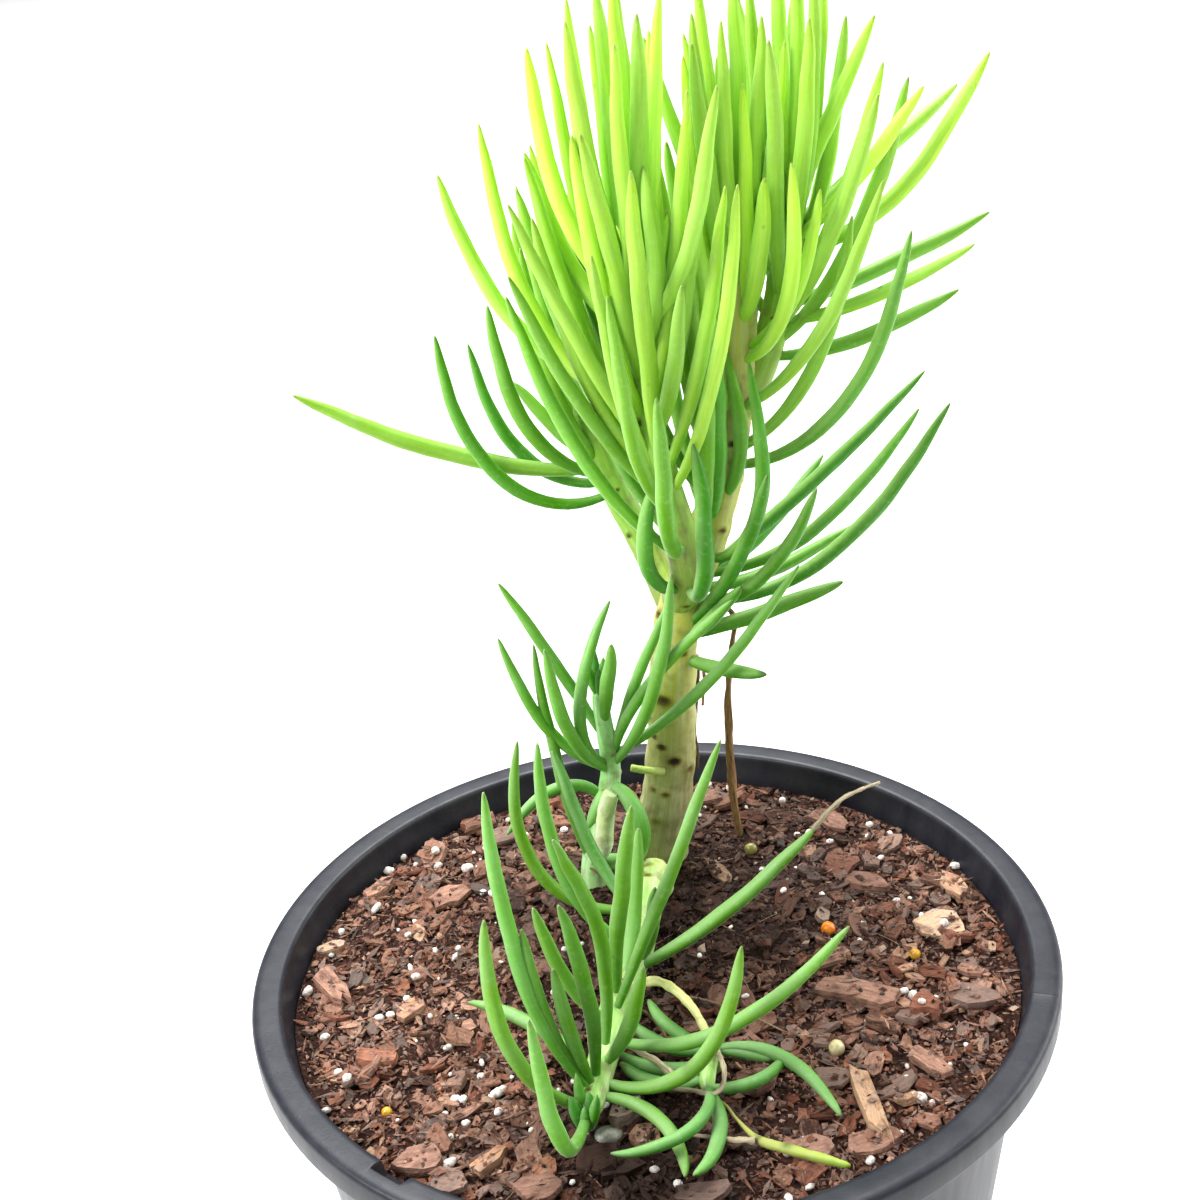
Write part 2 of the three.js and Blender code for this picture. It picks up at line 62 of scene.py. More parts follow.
STEM_LINES = {
    "main": [(6, 54, 150), (6, 54, 183), (9, 55, 201), (11, 55, 217), (13, 55, 240), (16, 56, 258), 
             (24, 57, 276), (31, 57, 300), (35, 57, 328), (37, 57, 352)],
    "left": [(16, 55, 260), (18, 46, 274), (13, 43, 300), (10, 43, 320), (10, 43, 338), (12, 44, 348)],
    "right": [(32.5, 57, 309), (40, 60, 320), (45.5, 62, 334), (49, 62, 350), (50, 62, 360)],
    "back": [(15, 57, 256), (9, 66, 270), (1, 70, 288), (-4, 72, 304), (-5, 72, 316)],
    "side": [(-14, 42, 152), (-14, 42, 183), (-11.5, 42, 196), (-7.5, 42, 211), (-6.5, 42, 220),
             (-7.5, 42, 234), (-7.5, 42, 243)],
    "front": [(3, 35, 154), (3, 36, 182), (1, 24, 190), (-4, -3, 190), (-9, -19, 190), (-12, -33, 190),
              (-16, -50, 189), (-19, -60, 188)],
    "low": [(12, -39, 160), (12, -39, 182), (11.6, -41, 187.5), (10, -48, 188), (8.8, -54.8, 187.5)],
}
# Radius at the foot and at the top
STEM_RADII = {"main": (8.2, 4), "left": (5, 3.5), "right": (4.6, 3.5), "back": (4.6, 3.2), "side": (4.2, 2.2),
              "front": (5.5, 3.2), "low": (2.4, 1.8)}

# The leaves that stand out: distance along the stem, compass direction in degrees, length, rise in degrees at
# the root and at the tip, and how far the leaf swings sideways on its way.
KNOWN_LEAVES = {
    "main": [
        (95, 320, 30, -16, 10, 0), (96, 325, 32, 38, 50, 0), (99, 355, 48, 12, 20, 0),
        (100, 332, 68, 42, 62, -50), (109, 328, 60, 0, 65, 0), (111, 6, 95, -20, 57, 0),
        (114, 22, 55, -18, 18, 0), (116, 12, 84, 26, 40, 0), (117, 38, 58, -10, 35, 0),
        (118, 348, 79, 0, 56, 0), (124, 306, 72, 0, 102, 0), (131, 285, 54, 56, 82, 0),
        (140, 304, 46, 30, 105, 0), (150, 338, 85, 2, 76, 0), (153, 346, 73, 24, 80, 0),
        (165, 316, 80, 24, 68, 0), (178, 305, 62, 15, 92, 0), (181, 320, 52, 20, 78, 0),
        (187, 290, 45, 43, 77, 0),
    ],
    "left": [
        (10, 280, 60, -18, 110, 0), (10, 222, 42, -14, 115, 0), (19, 186, 86, 38, 74, 0),
        (25, 260, 66, -8, 90, 0), (34, 246, 75, 27, 83, 0), (37, 201, 75, 45, 68, 0),
        (46, 217, 84, 56, 66, 0), (55, 287, 54, 34, 70, 0), (60, 174, 86, 25, 85, 0),
        (65, 249, 76, 70, 66, 0), (70, 170, 76, -5, 76, 0), (78, 290, 50, 30, 100, 0),
        (80, 155, 54, 30, 75, 0), (82, 300, 74, 30, 73, 0), (87, 193, 70, 40, 86, 0),
        (88, 229, 73, 55, 83, 0),
    ],
    "right": [
        (18, 354, 52, -5, 27, 0), (27, 343, 54, 4, 30, 0), (31, 8, 59, 8, 22, 0), (45, 6, 71, 0, 60, 0),
        (47, 345, 50, 35, 55, 0), (51, 27, 60, 25, 28, 0), (52, 335, 54, 72, 62, 0),
        (52, 60, 45, 20, 80, 0),
    ],
    "back": [
        (37, 192, 78, -25, 84, 0), (40, 172, 60, -15, 80, 0), (42, 203, 64, 12, 85, 0),
        (44, 185, 86, 0, 31, 0), (46, 158, 32, 25, 50, 0),
    ],
    "side": [
        (34, 200, 74, 73, 86, 0), (50, 190, 41, 120, -51, 0), (61, 307, 52, 21, -169, 0),
        (62, 221, 14, -40, -54, 0), (66, 191, 54, 27, 76, 0), (66, 223, 50, 34, 83, 0),
        (67, 335, 67, 77, 44, 0), (67, 326, 67, 47, 80, 0), (67, 351, 53, 76, 65, 0),
        (68, 224, 55, 26, 130, 0), (70, 353, 77, 28, 55, 0), (74, 179, 56, 68, 62, 0),
        (80, 284, 35, 69, 61, 0),
    ],
    "front": [
        (52, 181, 74, -20, 100, 0), (71, 187, 70, 37, 91, 0), (80, 16, 60, 10, 38, 0),
        (92, 293, 70, 85, 68, 0), (98, 1, 80, 68, 68, 0), (105, 315, 76, 8, 48, 50),
        (112, 240, 72, 118, 62, 0), (119, 332, 65, -10, 80, 14), (121, 110, 44, 8, 3, 50),
        (121, 244, 58, 105, 70, 0), (122, 205, 38, 73, 83, 0), (122, 196, 51, 58, 84, 0),
        (123, 191, 87, 59, 89, 0), (124, 356, 35, -2, -7, -97), (127, 206, 66, 31, 92, 0),
        (128, 260, 80, 0, 82, 0),
    ],
    "low": [
        (27, 160, 22, 15, 9, -57), (27, 182, 24, 1, 5, -69), (27, 342, 15, 8, 4, -18),
        (27, 352, 38, 24, -18, -67), (33, 181, 25, -18, -4, -58), (38, 187, 25, -16, -4, -73),
        (41, 284, 38, 24, -8, -125), (41, 294, 30, -4, 3, -72), (41, 342, 23, -2, 6, 81),
    ],
}

# The rest follow the golden angle: first and last place on the stem, number, first direction, then length,
# root rise and tip rise for the oldest and the youngest leaf.
LEAF_RULES = {
    "main": (116, 204, 46, 100, (84, 68), (48, 78), (78, 89)),
    "left": (30, 91, 33, 100, (86, 78), (50, 78), (78, 89)),
    "right": (16, 54, 22, 80, (78, 66), (36, 78), (70, 89)),
    "back": (34, 66, 14, 20, (74, 56), (46, 78), (76, 88)),
    "front": (60, 128, 6, 140, (50, 34), (30, 60), (70, 85)),
}
# How far direction, length, root rise and tip rise stray from the rule, from end to end
LEAF_SPREAD = (24, 12, 14, 10)
LEAF_HALF_WIDTH = {"main": 2.5, "left": 2.5, "right": 2.5, "back": 2.4, "side": 2.3, "front": 2.4, "low": 1.9}
LEAF_SINK = 0.3
LEAF_STEPS = 24
GOLDEN_ANGLE = 137.5
DRAW_SEED = 20261
DRAW_FACTOR = 1664525
DRAW_STEP = 1013904223
DRAW_RANGE = 2 ** 32
TURNS = (0, 9, -9, 18, -18, 27, -27, 36, -36, 45, -45)
CLEAR_OF_OTHER_STEMS = 0.7
CLEAR_ON_SAME_STEM = -1.2
SHARED_ROOT_SHARE = 0.25
FORKS = ("left", "right", "back")
FORK_HIDDEN = 8
TRUNK_TOP = 90

RUNNER = [(-7, -20, 190), (-4, -21, 193), (0.7, -23.2, 195), (4.9, -28, 195), (8.4, -33, 193),
          (10.6, -37, 189.4)]
LONG_ROOT = [(14.5, 57, 248), (22, 61, 252), (28, 61, 254), (30.6, 60.5, 250), (29.8, 60, 242),
             (28.4, 60, 231.6), (27.5, 60, 219), (27.6, 60, 209), (27.8, 60, 196), (28.6, 60, 182),
             (28.6, 60, 171)]
SHORT_ROOT = [(12, 57, 236), (19, 65, 238), (22, 67, 231), (21, 66, 221)]

SOIL_LEVEL = 181
SOIL_RELIEF = 1.1
SOIL_EDGE = 92.5
SOIL_SWELLS = (9.1, 10.3, 6.7, 5.9)


# Settings that a user would change

def linear(colour):
    """An sRGB hex value such as #5da843 as linear RGBA. A setting's colour is linear already."""
    if not isinstance(colour, str):
        return tuple(colour)
    parts = [int(colour[i:i + 2], 16) / 255 for i in (1, 3, 5)]
    return tuple(c / 12.92 if c <= 0.04045 else ((c + 0.055) / 1.055) ** 2.4 for c in parts) + (1.0,)


def colour_of(name, description, default):
    return FloatVectorProperty(
        name=name, description=description, default=linear(default), subtype="COLOR", size=4, min=0, max=1)


def length_of(name, description, default, least, most):
    """A length, given in millimetres."""
    return FloatProperty(
        name=name, description=description, default=default * MM, min=least * MM, max=most * MM,
        unit="LENGTH", precision=4)


def count_of(name, description, default, most):
    return IntProperty(name=name, description=description, default=default, min=0, max=most)


class ChalkSticksPlantSettings(bpy.types.PropertyGroup):
    """Leaves and stems"""

    leaf_width: FloatProperty(
        name="Leaf width", description="Width of a round leaf, as a share of the five-sided solid's",
        default=0.88, min=0.5, max=1.5, subtype="FACTOR")
    leaf_crook: length_of("Leaf crook", "How far a leaf strays sideways from its smooth bend", 0.6, 0, 3)
    young_leaf: colour_of("Young leaf", "Sunlit lime green of the crown's top", "#ccf552")
    crown_leaf: colour_of("Crown leaf", "Fresh green of the crown's older leaves", "#4f9a00")
    shoot_leaf: colour_of("Shoot leaf", "Green of the lower leaves under their wax bloom", "#68a01c")
    trunk_skin: colour_of("Trunk skin", "Olive skin of the bare stem", "#b9bb50")


class ChalkSticksPotSettings(bpy.types.PropertyGroup):
    """Nursery pot"""

    rim_radius: length_of("Rim radius", "Outer radius of the rolled rim", 102.2, 50, 200)
    height: length_of("Height", "Height of the pot", 190, 50, 500)
    plastic: colour_of("Plastic", "Carbon-black polypropylene", "#171923")


class ChalkSticksMixSettings(bpy.types.PropertyGroup):
    """Potting mix"""

    chips: count_of("Bark chips", "Number of loose bark chips", 3200, 6000)
    crumbs: count_of("Crumbs", "Number of small crumbs", 15000, 24000)
    perlite: count_of("Perlite", "Number of perlite grains", 190, 1000)
    longest_chip: length_of("Longest chip", "Length of the biggest loose chip", 13, 2, 30)
    dark_bark: colour_of("Dark bark", "Bark in hollows and on charred chips", "#26140c")
    brown_bark: colour_of("Bark", "Weathered red-brown bark", "#8c6450")
    tan_bark: colour_of("Fresh bark", "Tan inner face of a broken chip", "#c49d78")


class ChalkSticksStageSettings(bpy.types.PropertyGroup):
    """Studio"""

    floor_size: length_of("Floor size", "Width of the pale floor", 14000, 1000, 30000)
    floor: colour_of("Floor", "Plain pale studio floor", "#f4f4f2")
    key_power: FloatProperty(
        name="Key light", description="Power of the large soft light",
        default=31.0, min=0, max=500, unit="POWER")
    sky_strength: FloatProperty(
        name="Surround", description="Strength of the even white surround", default=0.46, min=0, max=5)


# Growth: the same rule as the solids

def smooth_line(points, steps=16):
    """Uniform Catmull-Rom curve through points, with straight run-outs at both ends."""
    p = np.array(points, float)
    p = np.vstack([2 * p[0] - p[1], p, 2 * p[-1] - p[-2]])
    t = (np.arange(steps) / steps)[:, None]
    spans = [
        0.5 * (2 * p[i] + (p[i + 1] - p[i - 1]) * t
               + (2 * p[i - 1] - 5 * p[i] + 4 * p[i + 1] - p[i + 2]) * t ** 2
               + (3 * p[i] - p[i - 1] - 3 * p[i + 1] + p[i + 2]) * t ** 3)
        for i in range(1, len(p) - 2)
    ]
    return np.vstack([*spans, p[-2]])


def distances(line):
    return np.r_[0, np.cumsum(np.linalg.norm(np.diff(line, axis=0), axis=1))]


def at_distance(line, distance):
    far = distances(line)
    where = np.clip(distance, 0, far[-1])
    return np.stack([np.interp(where, far, line[:, k]) for k in range(3)], -1)


LINES = {name: smooth_line(points) for name, points in STEM_LINES.items()}
LENGTHS = {name: distances(line)[-1] for name, line in LINES.items()}


def stem_radius(name, share):
    first, last = STEM_RADII[name]
    return first + (last - first) * share


def leaf_shape(s, blunt=3.4, round_end=0.75):
    """Half width along a leaf as a share of the widest."""
    s = np.clip(s, 0, 1)
    return (0.56 + 0.44 * np.sin(math.pi / 2 * np.minimum(s / 0.45, 1))) * (1 - s ** blunt) ** round_end


def leaf_line(stem, row):
    distance, azimuth, length, root_rise, tip_rise, turn = row
    s = (np.arange(LEAF_STEPS) + 0.5) / LEAF_STEPS
    rise = np.radians(root_rise + (tip_rise - root_rise) * (1 - (1 - s) ** 2))
    heading = np.radians(azimuth + turn * s)
    step = np.stack([np.cos(rise) * np.cos(heading), np.cos(rise) * np.sin(heading), np.sin(rise)], -1)
    start = at_distance(LINES[stem], distance)
    return start + np.vstack([np.zeros(3), np.cumsum(step * length / LEAF_STEPS, axis=0)])


def leaf_widths(stem):
    """Half width at each step of a leaf of the solids."""
    return LEAF_HALF_WIDTH[stem] * leaf_shape(np.arange(LEAF_STEPS + 1) / LEAF_STEPS)


class Grown:
    """The leaves placed so far, kept as arrays for the room test."""

    def __init__(self):
        self.leaves = []
        self.state = DRAW_SEED
        self.stem_points = {}
        for name, line in LINES.items():
            far = distances(line)
            keep = far >= (FORK_HIDDEN if name in FORKS else 0)
            self.stem_points[name] = (line[keep], stem_radius(name, far / far[-1])[keep])

    def draw(self, spread):
        """A draw between minus and plus half the spread."""
        self.state = (self.state * DRAW_FACTOR + DRAW_STEP) % DRAW_RANGE
        return (self.state / DRAW_RANGE - 0.5) * spread

    def add(self, stem, row, known=-1):
        """Places a leaf. Known is its number in the table of leaves that stand out."""
        self.leaves.append({"stem": stem, "row": row, "known": known, "points": leaf_line(stem, row),
                            "width": leaf_widths(stem)})

    def has_room(self, stem, points):
        width = leaf_widths(stem)
        for name, (line, radius) in self.stem_points.items():
            if name != stem:
                gap = np.linalg.norm(points[:, None] - line[None], axis=2) - radius[None] - width[:, None]
                if gap.min() < CLEAR_OF_OTHER_STEMS:
                    return False
        for same in (True, False):
            others = [leaf for leaf in self.leaves if (leaf["stem"] == stem) == same]
            if not others:
                continue
            first = math.ceil(LEAF_STEPS * SHARED_ROOT_SHARE) if same else 0
            theirs = np.stack([leaf["points"][first:] for leaf in others])
            their_width = np.stack([leaf["width"][first:] for leaf in others])
            gap = np.linalg.norm(points[None, first:, None] - theirs[:, None], axis=3)
            gap = gap - width[None, first:, None] - their_width[:, None]
            if gap.min() < (CLEAR_ON_SAME_STEM if same else CLEAR_OF_OTHER_STEMS):
                return False
        return True


def grow_leaves():
    """The known leaves, then those of the rules, each turned until it has room."""
    grown = Grown()
    for stem, rows in KNOWN_LEAVES.items():
        for number, row in enumerate(rows):
            grown.add(stem, row, number)
    for stem, (first, last, count, start, *spans) in LEAF_RULES.items():
        for i in range(count):
            share = i / (count - 1)
            azimuth = start + i * GOLDEN_ANGLE + grown.draw(LEAF_SPREAD[0])
            shape = [old + (young - old) * share + grown.draw(spread)
                     for (old, young), spread in zip(spans, LEAF_SPREAD[1:])]
            for turned in TURNS:
                row = (first + (last - first) * share, azimuth + turned, *shape, 0)
                if grown.has_room(stem, leaf_line(stem, row)):
                    grown.add(stem, row)
                    break
    return grown.leaves


# Mesh making

class Body:
    """Vertices, faces and named values gathered from many small forms into one mesh. A form that doesn't
    give a value has 0 there."""

    def __init__(self):
        self.vertices = []
        self.faces = []
        self.face_slots = []
        self.values = []
        self.count = 0

    def add(self, vertices, faces, slot=0, **values):
        """Adds a form. Each of its values is one number, or a number or vector for every vertex."""
        end = self.count + len(vertices)
        self.vertices.append(vertices)
        self.faces.extend([tuple(i + self.count for i in face) for face in faces])
        self.face_slots.extend([slot] * len(faces))
        self.values.extend((self.count, end, label, value) for label, value in values.items())
        self.count = end

    def build(self, name, materials, slot, replaces=(), smooth=True):
        """Makes the mesh object and rides it on the pot's body. Slot, the finish that it takes, is not used.
        """
        mesh = bpy.data.meshes.new(name)
        mesh.from_pydata(np.vstack(self.vertices) * MM, [], self.faces)
        layers = {}
        for start, end, label, value in self.values:
            value = np.asarray(value, np.float32)
            layer = layers.setdefault(label, np.zeros((self.count, *value.shape[1:]), np.float32))
            layer[start:end] = value
        for label, data in layers.items():
            kind, field = ("FLOAT_VECTOR", "vector") if data.ndim == 2 else ("FLOAT", "value")
            mesh.attributes.new(label, kind, "POINT").data.foreach_set(field, data.ravel())
        mesh.polygons.foreach_set("material_index", self.face_slots)
        mesh.polygons.foreach_set("use_smooth", [smooth] * len(self.faces))
        mesh.update()
        piece = bpy.data.objects.new(name, mesh)
        bpy.context.scene.collection.objects.link(piece)
        for material in materials:
            mesh.materials.append(material)
        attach(piece, "root")
        if replaces:
            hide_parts(*replaces)
        return piece


def ring_faces(rings, around, closed=False):
    """Faces between rings of vertices, and across the first and the last ring if they are closed."""
    here = np.arange(rings * around).reshape(rings, around)
    beside = np.roll(here, -1, axis=1)
    faces = np.stack([here[:-1], beside[:-1], beside[1:], here[1:]], -1).reshape(-1, 4).tolist()
    return faces + [here[0, ::-1].tolist(), here[-1].tolist()] if closed else faces


def carried_frames(line, first_side):
    """Two directions across a line at each of its points, which don't twist."""
    along = np.empty_like(line)
    along[1:-1] = line[2:] - line[:-2]
    along[0] = line[1] - line[0]
    along[-1] = line[-1] - line[-2]
    along /= np.linalg.norm(along, axis=1)[:, None]
    side = np.array(first_side, float)
    sides = []
    for direction in along:
        side = side - direction * (side @ direction)
        side /= np.linalg.norm(side)
        sides.append(side)
    return np.array(sides), np.cross(along, sides)


def swept(line, radii, sides, first_side=(1, 0, 0), shape=None, crisp_ends=False):
    """A tube along a line with closed ends. radii is per ring, shape(angle, share) scales it around the ring.
    Crisp ends don't share their edge with the side. Gives vertices, faces, each vertex's share along the line
    and its angle."""
    line = np.asarray(line, float)
    side, over = carried_frames(line, first_side)
    share = distances(line) / distances(line)[-1]
    angle = np.arange(sides) * 2 * math.pi / sides
    radius = np.asarray(radii, float)[:, None] * np.ones(sides)
    if shape is not None:
        radius = radius * shape(angle[None], share[:, None])
    rings = (line[:, None] + side[:, None] * (radius * np.cos(angle))[..., None]
             + over[:, None] * (radius * np.sin(angle))[..., None])
    vertices = [rings.reshape(-1, 3)]
    shares = [np.repeat(share, sides)]
    angles = [np.tile(angle, len(line))]
    faces = ring_faces(len(line), sides)
    total = len(line) * sides
    for ring in (0, len(line) - 1):
        edge = ring * sides
        if crisp_ends:
            vertices.append(rings[ring])
            shares.append(np.full(sides, share[ring]))
            angles.append(angle)
            edge = total
            total += sides
        vertices.append(line[ring][None])
        shares.append([share[ring]])
        angles.append([0.0])
        for j in range(sides):
            a, b = edge + j, edge + (j + 1) % sides
            faces.append((total, b, a) if ring == 0 else (total, a, b))
        total += 1
    return np.vstack(vertices), faces, np.concatenate(shares), np.concatenate(angles)


def ripple(values, seed, wave):
    """Smooth noise between -1 and 1 along values, about one swell per wave."""
    draw = np.random.default_rng(seed)
    total = np.zeros_like(np.asarray(values, float))
    for octave in range(3):
        turn, shift = draw.uniform(0.7, 1.3) * 2 ** octave, draw.uniform(0, 6.28)
        total += np.sin(np.asarray(values) / wave * 6.28 * turn + shift) / 1.8 ** octave
    return total / 2.1


def smoothstep(x):
    x = np.clip(x, 0, 1)
    return x * x * (3 - 2 * x)


def apart(first, second):
    """The angle between two compass directions in degrees."""
    return abs((first - second + 180) % 360 - 180)


# Materials

def add_node(tree, kind, inputs=(), output=None, ramp=(), **settings):
    """Adds a node with its settings, sets or links its inputs, given by name or else in the order that
    Blender shows them, and gives a colour ramp its stops. Returns the named output, or else the first one
    in use."""
    node = tree.nodes.new("ShaderNode" + kind)
    for name, value in settings.items():
        setattr(node, name, value)
    for number, (position, colour) in enumerate(ramp):
        stops = node.color_ramp.elements
        stop = stops[number] if number < len(stops) else stops.new(position)
        stop.position = position
        stop.color = linear(colour)
    shown = [socket for socket in node.inputs if socket.enabled]
    for key, value in inputs.items() if isinstance(inputs, dict) else enumerate(inputs):
        socket = node.inputs[key] if isinstance(key, str) else shown[key]
        if isinstance(value, bpy.types.NodeSocket):
            tree.links.new(value, socket)
        else:
            socket.default_value = linear(value) if isinstance(value, str) else value
    return node.outputs[output] if output else next((way for way in node.outputs if way.enabled), None)


def new_material(name):
    """An empty node material, and the function that adds nodes to it."""
    material = bpy.data.materials.new(name)
    material.use_nodes = True
    material.node_tree.nodes.clear()
    return material, partial(add_node, material.node_tree)


def laid_over(node, under, colour, pattern, start, full, most, blend="MIX"):
    """A colour laid over another: none of it where the pattern is at start, and most of it where it is at
    full."""
    cover = node("MapRange", (pattern, start, full, 0.0, most))
    return node("Mix", (cover, under, colour), data_type="RGBA", blend_type=blend)


# Where the painted highlight and painted shade on the leaves take their light from: the upper left, near the
# key light
PAINTED_LIGHT_DIRECTION = (-0.72, -0.1, 0.68)


def waxy_leaf(name, young, mature, bloom_share, lit_side_paint, lit_side_tint):
    """Succulent leaf skin: smooth, waxy and slightly see-through, so that light glows at its edges. The
    bloom is a fine waxy powder, which pales and blues the leaf in soft patches. A painted highlight
    pales the side towards the light, and painted shade darkens the underside."""
    material, node = new_material(name)
    share, tint, youth, mark = [node("Attribute", attribute_name=f"leaf_{value}", output="Fac")
                                for value in ("share", "tint", "youth", "mark")]
    grain = node("Attribute", attribute_name="stem_grain", output="Vector")
    place = node("TexCoord", output="Object")
    toward_painted_light = node("VectorMath", (node("NewGeometry", output="Normal"), PAINTED_LIGHT_DIRECTION), operation="DOT_PRODUCT")
    # Young leaves are paler lime; the lime also serves as painted light, making the high, brightly lit crown
    # top lighter.
    skin = node("Mix", (youth, mature, young), data_type="RGBA")
    # Every leaf differs a little from its neighbour: some are minty, and some darker.
    other = node("Math", [node("Math", (tint, 7.31), operation="MULTIPLY")], operation="FRACT")
    varied = node("HueSaturation", {
        "Color": laid_over(node, skin, "#70c456", tint, 0.55, 1.0, 0.3),
        "Hue": node("MapRange", (other, 0, 1, 0.497, 0.514)),
        "Value": node("MapRange", (other, 0, 1, 1.15, 0.74))})
    along = node("ValToRGB", [share], ramp=[
        (0.0, "#e3ecb0"), (0.07, "#d5e7a6"), (0.2, "#f2f2f2"), (0.6, "#ffffff"), (0.9, "#f6f6c8"),
        (0.975, "#e6dfa0"), (1.0, "#9a7c50")])
    tinted = node("Mix", (0.85, varied, along), data_type="RGBA", blend_type="MULTIPLY")
    # Bloom patches are about 9 mm across.
    cloud = node("TexNoise", (place, 110, 4, 0.55))
    dusted = laid_over(node, tinted, "#a5d3a4", cloud, 0.36, 0.72, bloom_share)
    # Pores and fine pale flecks, drawn at 1.4 mm because real ones are too fine to show
    fleck = node("TexNoise", (place, 700, 2))
    flecked = laid_over(node, dusted, "#cfe9a4", fleck, 0.55, 0.8, 0.14)
    # Faint lengthwise lines of the tissue, drawn about 1.5 mm wide because real ones are too fine to show
    vein = node("TexNoise", (grain, 1.2, 4, 0.6))
    lined = node("HueSaturation", {"Color": flecked, "Value": node("MapRange", (vein, 0.3, 0.7, 0.88, 1.1))})
    # Painted highlight: the side towards the light is paled to a light mint, as light on the waxy skin would
    # look.
    painted_lit_side = laid_over(node, lined, lit_side_tint, toward_painted_light, 0.15, 1.0, lit_side_paint)
    # Painted shade: the underside, turned from the light, is darkened and yellowed.
    toned = laid_over(node, painted_lit_side, "#bfdf6a", toward_painted_light, 0.1, -0.8, 0.5, "MULTIPLY")
    # Old scratches and bites heal brown.
    scar = node("TexVoronoi", (place, 75))
    healed = laid_over(node, toned, "#5d6a2c", scar, 0.075, 0.03, 0.55)
    # Low swells of the water tissue under the skin, and its pores
    swell = node("TexNoise", (place, 260, 3))
    dent = node("Bump", {"Height": swell, "Strength": 0.22, "Distance": 0.0009})
    node("OutputMaterial", {"Surface": node("BsdfPrincipled", {
        "Base Color": node("Mix", (mark, healed, "#2c3326"), data_type="RGBA"),
        "Roughness": node("MapRange", (cloud, 0, 1, 0.34, 0.56)), "IOR": 1.42, "Specular IOR Level": 0.35,
        "Normal": node("Bump", {"Height": fleck, "Strength": 0.12, "Distance": 0.0003, "Normal": dent}),
        "Subsurface Weight": 0.32, "Subsurface Radius": (0.9, 1.0, 0.25), "Subsurface Scale": 0.0022,
        # The waxy skin catches light at a glancing angle, which gives each leaf a pale rim.
        "Sheen Weight": 0.45, "Sheen Roughness": 0.2, "Sheen Tint": "#e2fbcc"})})
    return material


def stem_skin(name, fresh, aged, pale):
    """Succulent stem skin: smooth and olive when young, then paler, corky and streaked lengthwise, with dry
    brown scars where leaves have dropped."""
    material, node = new_material(name)
    share = node("Attribute", attribute_name="stem_share", output="Fac")
    scar = node("Attribute", attribute_name="stem_scar", output="Fac")
    grain = node("Attribute", attribute_name="stem_grain", output="Vector")
    # Lengthwise streaks about 1.5 mm wide and 15 mm long, and blotches of soil
    streak = node("TexNoise", (grain, 1, 5, 0.6))
    blotch = node("TexNoise", (node("TexCoord", output="Object"), 240, 5))
    skin = laid_over(node, fresh, aged, share, 0.42, 0.22, 1.0)
    streaked = laid_over(node, skin, pale, streak, 0.42, 0.66, 0.75)
    soiled = laid_over(node, streaked, "#786b42", blotch, 0.5, 0.7, 0.55)
    cork = node("ValToRGB", [scar], ramp=[
        (0.0, "#ffffff"), (0.25, "#e2d8b4"), (0.5, "#a3895f"), (0.78, "#4a3a2b"), (1.0, "#2e251e")])
    bump = node("Bump", {"Height": streak, "Strength": 0.22, "Distance": 0.0006})
    node("OutputMaterial", {"Surface": node("BsdfPrincipled", {
        "Base Color": node("Mix", (1.0, soiled, cork), data_type="RGBA", blend_type="MULTIPLY"),
        "Normal": node("Bump", {"Height": blotch, "Strength": 0.3, "Distance": 0.0004, "Normal": bump}),
        "Roughness": 0.58, "IOR": 1.42, "Subsurface Weight": 0.12, "Subsurface Radius": (1.0, 0.9, 0.35),
        "Subsurface Scale": 0.0015})})
    return material


def dry_fibre(name, dark, light):
    """Dried root or stalk: wrinkled lengthwise, brown and matte, paler on its ridges and towards its end."""
    material, node = new_material(name)
    share = node("Attribute", attribute_name="stem_share", output="Fac")
    ridge = node("TexNoise", (node("Attribute", attribute_name="stem_grain", output="Vector"), 2.2, 6, 0.65))
    tone = node("ValToRGB", [ridge], ramp=[(0.32, dark), (0.66, light)])
    bleach = node("MapRange", (share, 0, 1, 0.7, 1.3))
    node("OutputMaterial", {"Surface": node("BsdfPrincipled", {
        "Base Color": node("HueSaturation", {"Color": tone, "Value": bleach}),
        "Normal": node("Bump", {"Height": ridge, "Strength": 0.7, "Distance": 0.0008}), "Roughness": 0.82})})
    return material


# Darkened patches of the mix, partly wet bark and partly painted shade under the plant: centre, how far out
# they begin and end to fade, in metres, and how dark they are
DAMP_AND_SHADE_PATCHES = ((0.012, 0.03, 0.036, 0.09, 0.84), (-0.008, -0.064, 0.028, 0.052, 0.9))


